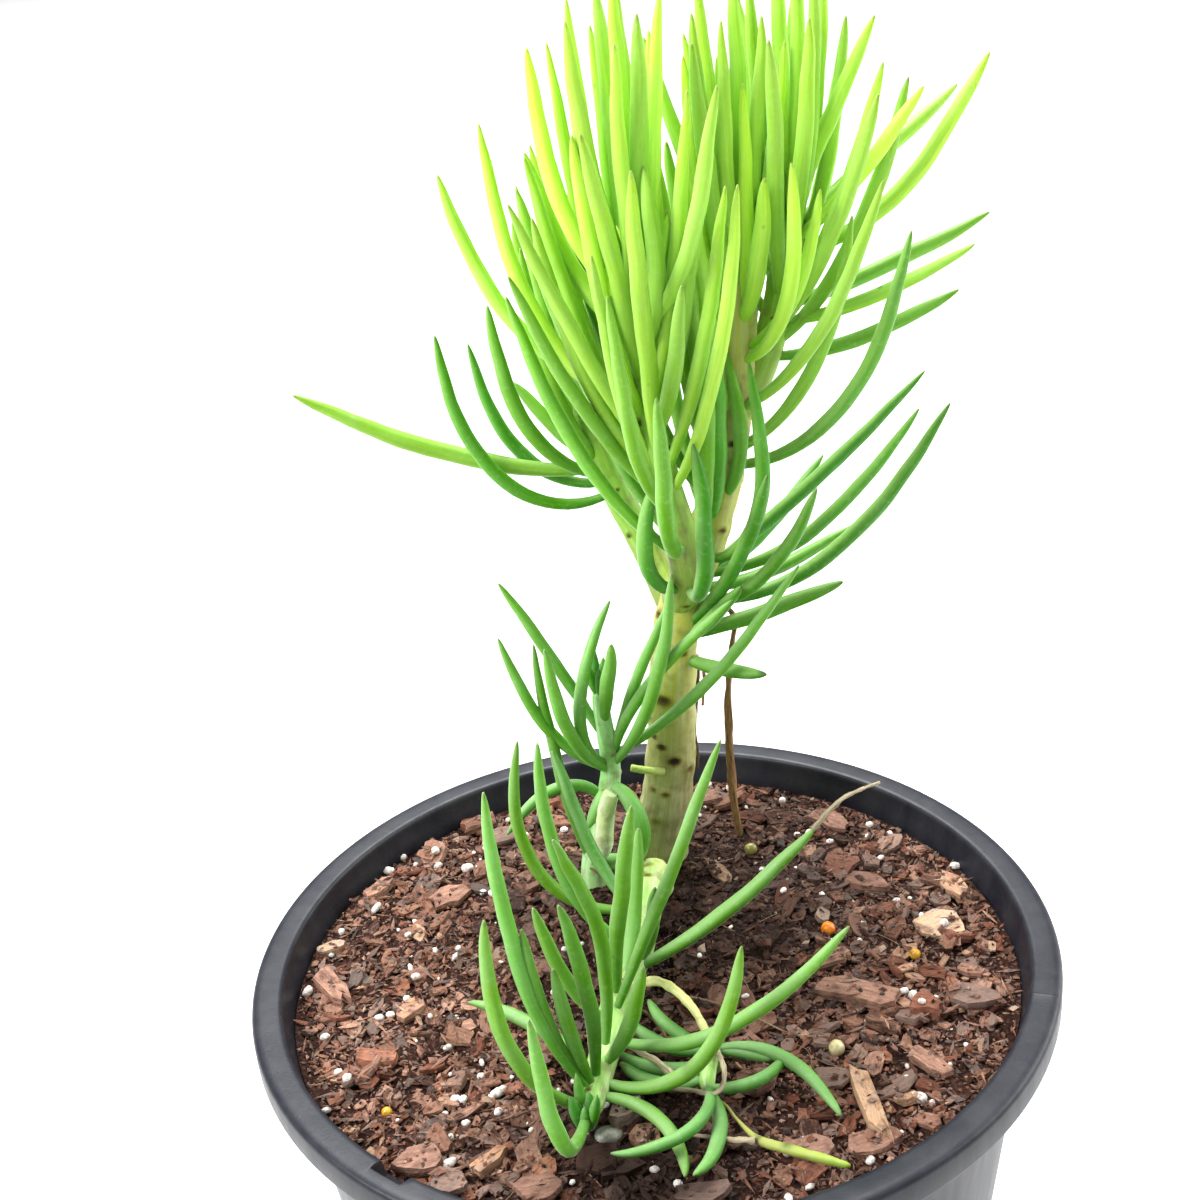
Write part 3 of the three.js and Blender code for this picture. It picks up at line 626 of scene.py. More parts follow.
def composted_bark(name, dark, brown, tan):
    """Composted pine bark: matte, streaked along the grain, red-brown outside, tan and orange on fresh
    breaks, and nearly black under the plant, where it is wet and where painted shade stands for the plant's
    shadow."""
    material, node = new_material(name)
    tone = node("Attribute", attribute_name="bark_tone", output="Fac")
    grain = node("Attribute", attribute_name="bark_grain", output="Vector")
    place = node("TexCoord", output="Object")
    # Grain lines about 0.8 mm apart, running along each chip
    fibre = node("TexNoise", (grain, 1, 5, 0.6))
    crack = node("TexNoise", (grain, 2.4, 3))
    cork = node("TexNoise", (place, 900, 5, 0.6))
    stain = node("TexNoise", (place, 260, 3))
    centred = node("Math", (fibre, -0.5), operation="ADD")
    shifted = node("Math", (centred, 0.66, tone), operation="MULTIPLY_ADD")
    toned = node("ValToRGB", [shifted], ramp=[
        (0.0, dark), (0.18, "#432b22"), (0.38, brown), (0.54, "#967060"), (0.66, "#b18672"), (0.78, tan),
        (0.9, "#ad9b8e"), (1.0, "#d6ae8a")])
    # Each crumb of dust and each hollow differs, down to about 1 mm, and fine dry cracks follow the grain.
    dusty = laid_over(node, toned, "#b4a59b", cork, 0.52, 0.8, 0.35)
    stained = laid_over(node, dusty, "#4b3229", stain, 0.5, 0.32, 0.6)
    cracked = laid_over(node, stained, "#2a1a14", crack, 0.4, 0.32, 0.5)
    # Some chips are rusty and some have gone grey.
    kind = node("Math", [node("Math", (tone, 37.7), operation="MULTIPLY")], operation="FRACT")
    rusty = laid_over(node, cracked, "#c98a66", kind, 0.2, 0.12, 0.6, "MULTIPLY")
    greyed = laid_over(node, rusty, "#7a6f69", kind, 0.72, 0.8, 0.5)
    # The mix is darkened around the trunk and, darkest, under the front shoot: partly wet bark, partly
    # painted shade where the plant shades it.
    uneven = node("TexNoise", (place, 55, 3))
    damp_and_shade_parts = []
    for x, y, inner, outer, most in DAMP_AND_SHADE_PATCHES:
        moved = node("Mapping", {"Vector": place, "Location": (-x, -y, 0), "Scale": (1, 1, 0)})
        away = node("VectorMath", [moved], operation="LENGTH")
        reach = node("Math", (uneven, 0.03, away), operation="MULTIPLY_ADD")
        damp_and_shade_parts.append(node("MapRange", (reach, inner, outer, most, 0.0)))
    damp_and_shade = node("Math", damp_and_shade_parts, operation="MAXIMUM")
    # The palest chips lie on top, where they are dry and less shaded, so the painted darkening spares them.
    pale_chips_spared = node("MapRange", (tone, 0.7, 0.86, 1.0, 0.3))
    damp_and_shade_cover = node("Math", (damp_and_shade, pale_chips_spared), operation="MULTIPLY")
    lines = node("Bump", {"Height": fibre, "Strength": 0.8, "Distance": 0.0007})
    node("OutputMaterial", {"Surface": node("BsdfPrincipled", {
        # Near-black bark where the mix is wet and where painted shade lies under the plant
        "Base Color": node("Mix", (damp_and_shade_cover, greyed, "#201009"), data_type="RGBA"),
        "Roughness": node("MapRange", (damp_and_shade, 0, 1, 0.9, 0.72)), "Specular IOR Level": 0.22,
        "Normal": node("Bump", {"Height": cork, "Strength": 0.7, "Distance": 0.0005, "Normal": lines})})})
    return material


def mottled_grain(name, noise, ramp, bump, **surface):
    """A small grain, mottled by one noise, given by its scale, detail and roughness, which also dents its
    skin, given by strength and depth. The rest are the surface's own values."""
    material, node = new_material(name)
    mottle = node("TexNoise", (node("TexCoord", output="Object"), *noise))
    strength, depth = bump
    node("OutputMaterial", {"Surface": node("BsdfPrincipled", {
        "Base Color": node("ValToRGB", [mottle], ramp=ramp),
        "Normal": node("Bump", {"Height": mottle, "Strength": strength, "Distance": depth}),
        **{label.replace("_", " ").title(): value for label, value in surface.items()}})})
    return material


def moulded_polypropylene(name, colour):
    """Injection-moulded polypropylene, coloured with carbon black: a satin skin with a fine orange-peel,
    faint vertical drag marks from the mould, pale dust and soil specks."""
    material, node = new_material(name)
    place = node("TexCoord", output="Object")
    flow = node("TexNoise", (node("Mapping", {"Vector": place, "Scale": (1, 1, 0.12)}), 260, 4))
    peel = node("TexNoise", (place, 1300, 3))
    # Dust lies in thin streaks about 10 mm wide, drawn out downwards by watering.
    film = node("TexNoise", (node("Mapping", {"Vector": place, "Scale": (1, 1, 0.35)}), 95, 8, 0.68))
    dusty = laid_over(node, colour, "#8b8a8c", film, 0.4, 0.8, 0.09)
    # Specks of soil stick where the dust does.
    dots = node("MapRange", (node("TexVoronoi", (place, 210)), 0.06, 0.13, 0.6, 0.0))
    few = node("Math", (dots, node("MapRange", (film, 0.5, 0.62))), operation="MULTIPLY")
    drag = node("Bump", {"Height": flow, "Strength": 0.08, "Distance": 0.0006})
    node("OutputMaterial", {"Surface": node("BsdfPrincipled", {
        "Base Color": node("Mix", (few, dusty, "#4b3628"), data_type="RGBA"),
        "Roughness": node("MapRange", (flow, 0, 1, 0.33, 0.5)), "IOR": 1.49,
        # A film of dust dulls the shine.
        "Specular IOR Level": 0.32,
        "Normal": node("Bump", {"Height": peel, "Strength": 0.1, "Distance": 0.0003, "Normal": drag})})})
    return material


def painted_studio_floor(name, colour):
    """Matt emulsion on a smooth studio floor, with a faint roller stipple."""
    material, node = new_material(name)
    stipple = node("TexNoise", (node("TexCoord", output="Object"), 300, 3))
    node("OutputMaterial", {"Surface": node("BsdfPrincipled", {
        "Base Color": laid_over(node, colour, "#dadada", stipple, 0, 1, 0.04), "Roughness": 0.75})})
    return material


# Pot

POT_HEIGHT = 190
WALL_TAPER = math.tan(math.radians(7))
SKIRT_FOOT = 182.5
# The notch in the lip for a tag
NOTCH = {"azimuth": 230, "half_width": 4.5, "outer": 97.9, "floor": 185}
LIP_RADIUS = 96
LIP_EDGE = 188.9
SEAM_AZIMUTH = -20.5
SEAM_HALF_WIDTH = 0.2
SEAM_HEIGHT = 0.16
DRAIN_HOLES = 8
DRAIN_RADIUS = 4
DRAIN_CIRCLE = 46


def wall_outer(z):
    return 94.4 - (SKIRT_FOOT - z) * WALL_TAPER


def pot_profile(rim):
    """Radius and height around the pot's section, from the underside's centre up the outside and down the
    inside, with its edges rounded as a mould leaves them."""
    foot = wall_outer(0)
    return np.array([
        (0.01, 3), (30, 3), (40, 3), (52, 3), (foot - 8, 3), (foot - 6.4, 2.2), (foot - 5, 0.3),
        (foot - 4.6, 0),
        (foot - 0.7, 0), (foot - 0.2, 0.2), (foot, 0.8),
        *((wall_outer(z), z) for z in np.linspace(6, 178, 18)),
        (wall_outer(181.5), 181.5), (94.9, 184), (95.8, 187), (96.4, 188.1), (97, 188.3),
        (rim - 2.6, 188.3), (rim - 1.9, 188.1), (rim - 1.6, 187.5), (rim - 1.6, 183.1), (rim - 1.4, 182.6),
        (rim - 1.1, 182.5), (rim - 0.4, 182.5), (rim - 0.1, 182.7), (rim, 183.2), (rim, 188.4),
        (rim - 0.1, 188.9), (rim - 0.35, 189.35), (rim - 0.7, 189.65), (rim - 1.1, 189.8),
        (rim - 1.6, 189.93), (rim - 2.4, 190), (rim - 4, 189.95), (rim - 6, 189.9),
        (95.6, 189.85), (94.9, 189.6), (94.55, 189.1), (94.4, 188.2), (94.1, 186.4),
        (93.7, 185), (93.2, 183.4),
        *((wall_outer(z) - 1.5, z) for z in np.linspace(181, 8, 12)),
        (wall_outer(5) - 2.2, 5.4), (wall_outer(5) - 3.4, 5), (52, 5), (40, 5), (30, 5), (0.01, 5)])


def pot_azimuths():
    """Even steps round the pot, closer where the tag notch and the seam are."""
    even = np.arange(0, 360, 2.25)
    notch = NOTCH["azimuth"] + np.degrees(np.array([-4.9, -4.5, -4.2, -2, 0, 2, 4.2, 4.5, 4.9]) / LIP_RADIUS)
    seam = SEAM_AZIMUTH + np.array([-0.3, -0.16, 0, 0.16, 0.3])
    return np.sort(np.unique(np.round(np.concatenate([even, notch % 360, seam % 360]), 3)))


class CHALKSTICKS_OT_pot(bpy.types.Operator):
    """Turned pot with rolled rim, hollow skirt, foot ring, drain holes, tag notch and mould seam"""

    bl_idname = "chalksticks.pot"
    bl_label = "Nursery Pot"

    def execute(self, context):
        settings = context.scene.chalksticks_pot
        profile = pot_profile(settings.rim_radius / MM)
        profile[:, 1] *= settings.height / (POT_HEIGHT * MM)
        columns = []
        for azimuth in pot_azimuths():
            radius, height = profile.T.copy()
            if apart(azimuth, NOTCH["azimuth"]) * math.pi / 180 * LIP_RADIUS <= NOTCH["half_width"] + 0.01:
                lip = (radius < NOTCH["outer"]) & (height > NOTCH["floor"]) & (radius > 93.5)
                radius[lip & (height > LIP_EDGE)] = NOTCH["outer"]
                radius[lip & (height <= LIP_EDGE) & (height > 186)] = NOTCH["outer"] - 0.3
            off_seam = apart(azimuth, SEAM_AZIMUTH)
            if off_seam < SEAM_HALF_WIDTH:
                height[height > 189.3] += SEAM_HEIGHT * (1 - off_seam / SEAM_HALF_WIDTH)
            turn = math.radians(azimuth)
            columns.append(np.stack([radius * math.cos(turn), radius * math.sin(turn), height], -1))
        # The two rings on the axis shrink to one closing face each.
        faces = ring_faces(len(profile), len(columns), closed=True)
        body = Body()
        body.add(np.stack(columns, 1).reshape(-1, 3), faces)
        material = moulded_polypropylene("carbon black moulded polypropylene", settings.plastic)
        pot = body.build("nursery_pot", [material], "pot_plastic", ["pot"])
        holes = Body()
        for i in range(DRAIN_HOLES):
            turn = 2 * math.pi * (i + 0.5) / DRAIN_HOLES
            x, y = DRAIN_CIRCLE * math.cos(turn), DRAIN_CIRCLE * math.sin(turn)
            holes.add(*swept([(x, y, -2), (x, y, 2), (x, y, 10)], [DRAIN_RADIUS] * 3, 24)[:2])
        cutter = holes.build("drain_hole_cutter", [material], "pot_plastic")
        cut = pot.modifiers.new("drain holes", "BOOLEAN")
        cut.operation = "DIFFERENCE"
        cut.object = cutter
        graph = context.evaluated_depsgraph_get()
        graph.update()
        finished = bpy.data.meshes.new_from_object(pot.evaluated_get(graph))
        pot.modifiers.clear()
        pot.data = finished
        bpy.data.objects.remove(cutter)
        if len(finished.polygons) < len(faces):
            raise RuntimeError("the drain holes were not cut")
        return {"FINISHED"}


# Potting mix

# The stems and roots that stand in the mix: x, y and radius
STANDING = [(6, 54, 8.5), (-14, 42, 4.5), (3, 36, 6), (12, -39, 2.8), (28.6, 60, 1.2)]
# How far out loose pieces reach
LOOSE_EDGE = 92.6
# The highest that a loose chip may lie
HEAP_TOP = 184.2

# The chips that stand out: centre x and y, length, width, thickness, direction in degrees, and tone from
# 0, nearly black, to 1, tan.
KNOWN_CHIPS = [
    (76.5, 6.5, 13.5, 12.5, 1.6, 20, 0.97), (50.5, -19, 21, 9, 2.6, -28, 0.62),
    (65, -27, 9, 7, 3.4, -35, 0.56), (77, -24, 14, 8, 2.6, -10, 0.5), (45.5, -3, 10, 8, 2, 10, 0.6),
    (45.8, -58, 28, 5.2, 3.6, -82, 0.78), (-86, 19.7, 9, 4.5, 2, 25, 0.86), (-84, 2.5, 18, 6, 3, -58, 0.6),
    (-62.5, -8.8, 8, 7, 2.4, 30, 0.68), (-57, -64, 12, 9, 3, 15, 0.55), (-41, -66, 10, 4.6, 2.4, 45, 0.8),
    (-10, -56.5, 9.5, 5.5, 3.8, 35, 0.95), (-5.5, -63.5, 7.5, 7, 4, 0, 0.8),
    (83, 22, 12, 7, 2.4, -70, 0.7), (60, 28, 14, 9, 2.4, -30, 0.52), (-55, 40, 13, 8, 2.4, 40, 0.6),
    (-70, -28, 13, 7, 2.6, -20, 0.64), (-30, -75, 12, 8, 2.6, 10, 0.6), (62, -46, 15, 5, 2.4, -55, 0.62),
    (30, -70, 12, 8, 2.5, 25, 0.55), (20, 78, 12, 7, 2.2, 15, 0.55), (55, 60, 13, 7, 2.2, -45, 0.6),
    (-40, 66, 12, 8, 2.4, 30, 0.58), (-75, 45, 12, 6, 2.4, 60, 0.62), (5, -82, 14, 7, 2.4, 5, 0.58),
    (70, 46, 10, 7, 2.4, 60, 0.66), (34, -14, 8, 6, 2, 70, 0.5),
]
# Mean and spread of tone for dark, middling and pale chips; about a fifth are pale.
CHIP_TONES = ((0.22, 0.08), (0.33, 0.08), (0.42, 0.08), (0.48, 0.07), (0.63, 0.1))
# How finely the grain is drawn along, across and through a chip
CHIP_GRAIN = (0.22, 1.3, 1.3)
# Fertiliser prills: shell and shade, then x, y and radius of each
PRILLS = {
    "orange": ("#f59a1c", "#d9640c", [(47, 9.9, 1.9)]),
    "yellow": ("#e3b437", "#b5821f", [(67, -4.7, 1.4), (-65.9, -45.2, 1.2)]),
    "cream": ("#d8cda0", "#a99a66", [(41.3, -38.8, 1.9), (78, -20.3, 1.3)]),
    "olive": ("#9f9850", "#6f6a36", [(31.1, 48.5, 1.7)]),
}
# Perlite that stands out: x, y, length, width, direction
GRAINS = [
    (-69.4, 62, 2.6, 2.2, 0), (-73, 55.6, 3.4, 2.4, -20), (-59.3, 59, 2.6, 2.4, 90),
    (-58.8, 55.5, 2.8, 2.2, 20), (-50.1, 52.5, 3.6, 2.8, -10), (-74.9, 35.7, 4.2, 1.9, 60),
    (-45.5, 41.8, 2.2, 1.8, 0), (-40.3, 34.8, 2.6, 2.4, 0), (-63.7, 8.5, 2.6, 1.4, -70),
    (-61.8, 3.1, 2.4, 2.0, 10), (-51.9, 11.9, 3.2, 1.6, 50), (-70.6, -10, 2.6, 2, 15),
    (-67.8, -9.2, 2.6, 1.8, -20), (-52.2, -23.8, 3.2, 1.8, 40), (-44, -34.8, 2.1, 1.8, 0),
    (-49.8, -42.5, 3, 2, 20), (-47.9, -43, 2.3, 2, 60), (-39.8, -42.4, 5.4, 2.4, 30),
    (-50.7, -64.6, 4.8, 2.3, 40), (-75.8, -35.2, 2.4, 2.6, 0), (-80.5, -43, 2.4, 1.6, 10),
    (-90, 1.8, 3.4, 2.3, 60), (-50.2, -57, 2, 1.6, 80), (-47, -52, 2.2, 1.7, 10), (-39.5, -49, 2.2, 2, 50),
    (61.5, -17.9, 2.8, 1.9, 20), (63.3, -20.2, 2.4, 2.6, 0), (57, -56.6, 4.2, 3, -30),
    (55.9, -50.3, 2.8, 2.4, 40), (86, 33, 3.4, 2.2, 10), (66.5, 40.7, 2.6, 1.6, 30),
    (45.4, 56.4, 1.9, 1.5, 0), (54.1, 50.8, 2.4, 1.6, 10), (66.6, 57, 2.6, 2, 20), (58, 62, 2.4, 1.8, 0),
    (-22, 70, 2.4, 2, 0),
]
# Fibres that stand out, the two thickest first
FIBRES = [
    [(3.3, -14), (10.6, -17), (22, -25.5), (32, -31), (40.4, -34.3)],
    [(-11.3, -30), (-4, -35), (3.1, -41.9), (10.3, -51.4)],
    [(58, 6), (63, 1), (67, -5), (71, -9)], [(72, 28), (75, 24), (76, 19)], [(52, -12), (60, -13), (66, -12)],
    [(-56, -62), (-46, -55), (-38, -44)], [(-70, -56), (-66, -48), (-65, -40)],
]


def soil_height(x, y):
    inside = 1 - np.minimum(np.hypot(x, y) / 94.5, 1) ** 6
    a, b, c, d = SOIL_SWELLS
    swell = 0.6 * np.sin(x / a + 0.6) * np.cos(y / b) + 0.4 * np.sin(x / c - y / d)
    return SOIL_LEVEL + SOIL_RELIEF * inside * swell


def keep_clear(x, y):
    """How far a point of the mix's surface is from the stems and roots that stand in it."""
    return min(math.hypot(x - sx, y - sy) - radius for sx, sy, radius in STANDING)


class Ground:
    """The mix's surface as a grid of heights, half a millimetre apart, that chips and grains are laid on."""

    step = 0.5
    reach = 96

    def __init__(self):
        axis = np.arange(-self.reach, self.reach + self.step, self.step)
        self.height = soil_height(*np.meshgrid(axis, axis, indexing="ij"))

    def cells(self, x, y):
        steps = [np.round((np.asarray(v) + self.reach) / self.step).astype(int) for v in (x, y)]
        return tuple(np.clip(step, 0, len(self.height) - 1) for step in steps)

    def place(self, x, y, above):
        """A point of the surface, and as far above it as said."""
        return (x, y, float(self.height[self.cells(x, y)]) + above)

    def lay(self, outline, thickness, turn, x, y, sink, wobble, highest=math.inf):
        """Rests a flat piece on what lies under it, raises the ground there and gives the piece's tilt and
        place. Gives nothing if the heap would get too high."""
        filled = np.vstack([outline * share for share in np.linspace(0.1, 1, 7)])
        cosine, sine = math.cos(math.radians(turn)), math.sin(math.radians(turn))
        points = filled @ np.array([[cosine, sine], [-sine, cosine]]) + (x, y)
        where = self.cells(points[:, 0], points[:, 1])
        off = points - points.mean(0)
        plane = np.linalg.lstsq(np.column_stack([off, np.ones(len(off))]), self.height[where], rcond=None)[0]
        slope = np.clip(plane[:2], -0.4, 0.4) * 0.75 + wobble
        rest = np.percentile(self.height[where] - off @ slope, 72) - sink
        if rest > highest:
            return None
        np.maximum.at(self.height, where, rest + thickness + off @ slope)
        normal = np.array([-slope[0], -slope[1], 1.0])
        normal /= np.linalg.norm(normal)
        along = np.array([cosine, sine, cosine * slope[0] + sine * slope[1]])
        along /= np.linalg.norm(along)
        return np.column_stack([along, np.cross(normal, along), normal]), (x, y, rest)


def chip_form(draw, length, width, thickness, corners, ragged=0.07):
    """A broken flake of bark: an angular outline with crisp split edges, a flat face and a slight cup.
    Gives vertices centred on the origin, faces and the outline."""
    angle = (np.arange(corners) + draw.uniform(-0.42, 0.42, corners)) * 2 * math.pi / corners
    square = 1 / np.maximum(np.abs(np.cos(angle)), np.abs(np.sin(angle))) ** draw.uniform(0.3, 1.0)
    reach = square * draw.uniform(0.7, 1.1, corners)
    outline = np.stack([np.cos(angle) * reach * length / 2, np.sin(angle) * reach * width / 2], -1)
    levels = []
    for height, shrink in ((0.0, 0.9), (0.55, 1.0), (1.0, 0.96)):
        ring = outline * (shrink * (1 + draw.uniform(-ragged, ragged, corners)))[:, None]
        lift = thickness * (height + draw.uniform(-0.12, 0.12, corners) * (height > 0.2))
        levels.append(np.column_stack([ring, lift]))
    inner = np.column_stack([outline * draw.uniform(0.4, 0.6), np.full(corners, thickness)
                             + draw.uniform(-0.12, 0.08, corners) * thickness])
    vertices = np.vstack([*levels, inner, [[0, 0, thickness * draw.uniform(0.9, 1.06)]], [[0, 0, 0]]])
    vertices[:, 2] += draw.uniform(-0.1, 0.12) / max(width, 1) * vertices[:, 1] ** 2
    n = corners
    faces = ring_faces(4, n)
    faces += [(4 * n, 3 * n + j, 3 * n + (j + 1) % n) for j in range(n)]
    faces += [(4 * n + 1, (j + 1) % n, j) for j in range(n)]
    return vertices, faces, outline


def add_chip(body, draw, vertices, faces, laid, tone):
    tilt, place = laid
    body.add(vertices @ tilt.T + place, faces, bark_tone=tone,
             bark_grain=vertices * CHIP_GRAIN + draw.uniform(0, 900, 3))


def crumb_form(draw, size, stretch=1.0):
    """A small broken crumb or splinter with eight crooked faces."""
    corners = np.array([(1, 0, 0), (-1, 0, 0), (0, 1, 0), (0, -1, 0), (0, 0, 0.9), (0, 0, -0.5)], float)
    corners *= draw.uniform(0.6, 1.25, (6, 1)) * size / 2 * (stretch * draw.uniform(1, 1.7), 1, 1)
    corners += draw.uniform(-0.14, 0.14, (6, 3)) * size
    faces = [(0, 2, 4), (2, 1, 4), (1, 3, 4), (3, 0, 4), (2, 0, 5), (1, 2, 5), (3, 1, 5), (0, 3, 5)]
    return corners, faces


def pebble_form(draw, length, width, sides, rings, rough):
    """A rounded grain along X with an uneven skin."""
    steps = np.linspace(-0.98, 0.98, rings)
    line = np.column_stack([steps * length / 2, np.zeros(rings), np.zeros(rings)])
    vertices, faces, _, _ = swept(line, width / 2 * np.sqrt(1 - steps ** 2) ** 0.85, sides, (0, 1, 0))
    return vertices * (1 + draw.uniform(-rough, rough, (len(vertices), 1))), faces


def tilted(vertices, turn, pitch, roll=0):
    """Vertices turned about Z after a tilt about X and Y, all in degrees."""
    matrix = (Matrix.Rotation(math.radians(turn), 3, "Z") @ Matrix.Rotation(math.radians(pitch), 3, "Y")
              @ Matrix.Rotation(math.radians(roll), 3, "X"))
    return vertices @ np.array(matrix).T


def anywhere(draw, reach):
    """An even draw of a place within reach of the pot's middle."""
    radius, turn = reach * math.sqrt(draw.uniform()), draw.uniform(0, 2 * math.pi)
    return radius * math.cos(turn), radius * math.sin(turn)


class CHALKSTICKS_OT_mix(bpy.types.Operator):
    """Bark mix: a rough surface, loose chips, crumbs, perlite, fertiliser prills, a pebble and fibres"""

    bl_idname = "chalksticks.mix"
    bl_label = "Potting Mix"

    def execute(self, context):
        settings = context.scene.chalksticks_mix
        tones = settings.dark_bark, settings.brown_bark, settings.tan_bark
        bark = composted_bark("composted pine bark", *tones)
        ground = Ground()
        self.surface(bark)
        self.chips(settings, bark, ground)
        self.crumbs(settings, bark, ground)
        self.perlite(settings, ground)
        self.prills(ground)
        self.fibres(ground)
        return {"FINISHED"}

    def surface(self, bark):
        """The body of the mix, with a finely broken top."""
        draw = np.random.default_rng(11)
        around, rings = 220, 74
        turn = np.arange(around) * 2 * math.pi / around
        sides = ((0.05, 5.3), (40, 5.3), (69.5, 5.3), (70.9, 6.5), (80, 80), (88, 145), (92.2, 178))
        levels = [np.column_stack([np.cos(turn) * r, np.sin(turn) * r, np.full(around, z)]) for r, z in sides]
        for radius in np.linspace(SOIL_EDGE, 0.4, rings):
            x, y = np.cos(turn) * radius, np.sin(turn) * radius
            rough = draw.uniform(-0.8, 0.45, around) * min(1, radius / 6) * (radius < 92)
            levels.append(np.column_stack([x, y, soil_height(x, y) + rough]))
        grid = np.vstack(levels)
        body = Body()
        body.add(grid, ring_faces(len(levels), around, closed=True), bark_tone=0.08, bark_grain=grid * 0.9)
        body.build("potting_mix_body", [bark], "potting_mix", ["potting_mix"], smooth=False)

    def chips(self, settings, bark, ground):
        """Loose chips heaped in layers, and the known plates on top of them."""
        draw = np.random.default_rng(5)
        longest = settings.longest_chip / MM
        loose, made, tries = Body(), 0, 0
        while made < settings.chips and tries < 4 * settings.chips:
            tries += 1
            x, y = anywhere(draw, 92.3)
            length = min(longest, 1.8 + draw.gamma(1.2, 1.8))
            if keep_clear(x, y) < length * 0.45 or math.hypot(x, y) > LOOSE_EDGE - length * 0.5:
                continue
            width = length * draw.uniform(0.28, 0.8)
            thickness = min(2.4, max(0.5, width * draw.uniform(0.16, 0.42)))
            corners = 5 if length < 3.4 else 6 if length < 5.5 else 8 if length < 9 else 10
            heading = draw.uniform(0, 360)
            vertices, faces, outline = chip_form(draw, length, width, thickness, corners)
            lean = draw.normal(0, 0.42 if length < 5 else 0.2, 2)
            laid = ground.lay(outline, thickness, heading, x, y, 0.4, lean, HEAP_TOP)
            if laid:
                tone = np.clip(draw.normal(*draw.choice(CHIP_TONES)), 0.05, 1)
                add_chip(loose, draw, vertices, faces, laid, tone)
                made += 1
        loose.build("bark_chips", [bark], "potting_mix", smooth=False)
        plates = Body()
        for x, y, length, width, thickness, turn, tone in KNOWN_CHIPS:
            vertices, faces, outline = chip_form(draw, length, width, thickness, 11, 0.025)
            laid = ground.lay(outline, thickness, turn, x, y, 0.3, (0, 0))
            add_chip(plates, draw, vertices, faces, laid, tone)
        plates.build("bark_plates", [bark], "potting_mix", smooth=False)

    def crumbs(self, settings, bark, ground):
        """Crumbs of bark, three in ten of them drawn out to splinters."""
        draw = np.random.default_rng(8)
        body = Body()
        for _ in range(settings.crumbs):
            x, y = anywhere(draw, 92.4)
            size = min(2.8, 0.55 + draw.exponential(0.5))
            if keep_clear(x, y) < size * 0.5 or math.hypot(x, y) > LOOSE_EDGE - size * 0.5:
                continue
            thin, stretch, pitch = (0.6, 4.2, 0.3) if draw.uniform() < 0.3 else (1, 1, 1)
            vertices, faces = crumb_form(draw, size * thin, stretch)
            placed = tilted(vertices, draw.uniform(0, 360), draw.uniform(-40, 40) * pitch)
            placed = placed * (1, 1, 0.8) + ground.place(x, y, size * 0.16)
            tone = np.clip(draw.normal(0.38, 0.19), 0.02, 1)
            body.add(placed, faces, bark_tone=tone, bark_grain=placed * 1.1)
        body.build("bark_crumbs", [bark], "potting_mix", smooth=False)

    def perlite(self, settings, ground):
        draw = np.random.default_rng(21)
        body = Body()
        grains = list(GRAINS)
        for _ in range(settings.perlite):
            x, y = anywhere(draw, 90.5)
            # More perlite lies in the left half of the mix than in the right.
            if draw.uniform() < (0.9 if x < 0 else 0.55):
                length = draw.uniform(0.8, 2.6)
                grains.append((x, y, length, length * draw.uniform(0.6, 0.95), draw.uniform(0, 180)))
        for x, y, length, width, turn in grains:
            if keep_clear(x, y) >= length * 0.6:
                vertices, faces = pebble_form(draw, length, width, 9, 8, 0.1)
                placed = tilted(vertices, turn, draw.uniform(-14, 14), draw.uniform(0, 90))
                body.add(placed + ground.place(x, y, width * 0.3), faces)
        # Expanded volcanic glass: chalk-white popped grains, pitted and slightly soiled in their hollows
        perlite = mottled_grain(
            "expanded perlite", (900, 4, 0.6), [(0.3, "#8d7a6c"), (0.44, "#d5ccc4"), (0.62, "#f3f0ec")],
            (0.7, 0.0006), roughness=0.8, subsurface_weight=0.15, subsurface_scale=0.001)
        body.build("perlite_grains", [perlite], "potting_mix")

    def prills(self, ground):
        """Fertiliser prills of four finishes, and a pebble."""
        draw = np.random.default_rng(13)
        for finish, (shell, shade, places) in PRILLS.items():
            body = Body()
            for x, y, radius in places:
                vertices, faces = pebble_form(draw, radius * 2.1, radius * 2, 20, 14, 0.012)
                placed = tilted(vertices, draw.uniform(0, 180), 10)
                body.add(placed + ground.place(x, y, radius * 0.6), faces)
            # Resin-coated fertiliser: a smooth shell with a soft shine, a little mottled
            resin = mottled_grain(
                f"{finish} resin prill", (520, 3), [(0.35, shade), (0.62, shell)], (0.2, 0.0004),
                roughness=0.3, subsurface_weight=0.2, subsurface_scale=0.001)
            body.build(f"{finish}_prills", [resin], "potting_mix")
        pebble = Body()
        vertices, faces = pebble_form(draw, 6.8, 4.8, 24, 16, 0.008)
        pebble.add(tilted(vertices * (1, 1, 0.75), 8, 5) + ground.place(-14, -60, 1.3), faces)
        # Worn by water: smooth grey stone with faint lighter grains
        stone = mottled_grain(
            "water-worn grey pebble", (700, 6, 0.7), [(0.34, "#7c7f70"), (0.55, "#a3a695"), (0.7, "#bfc1b2")],
            (0.25, 0.0004), roughness=0.42)
        pebble.build("pebble", [stone], "potting_mix")

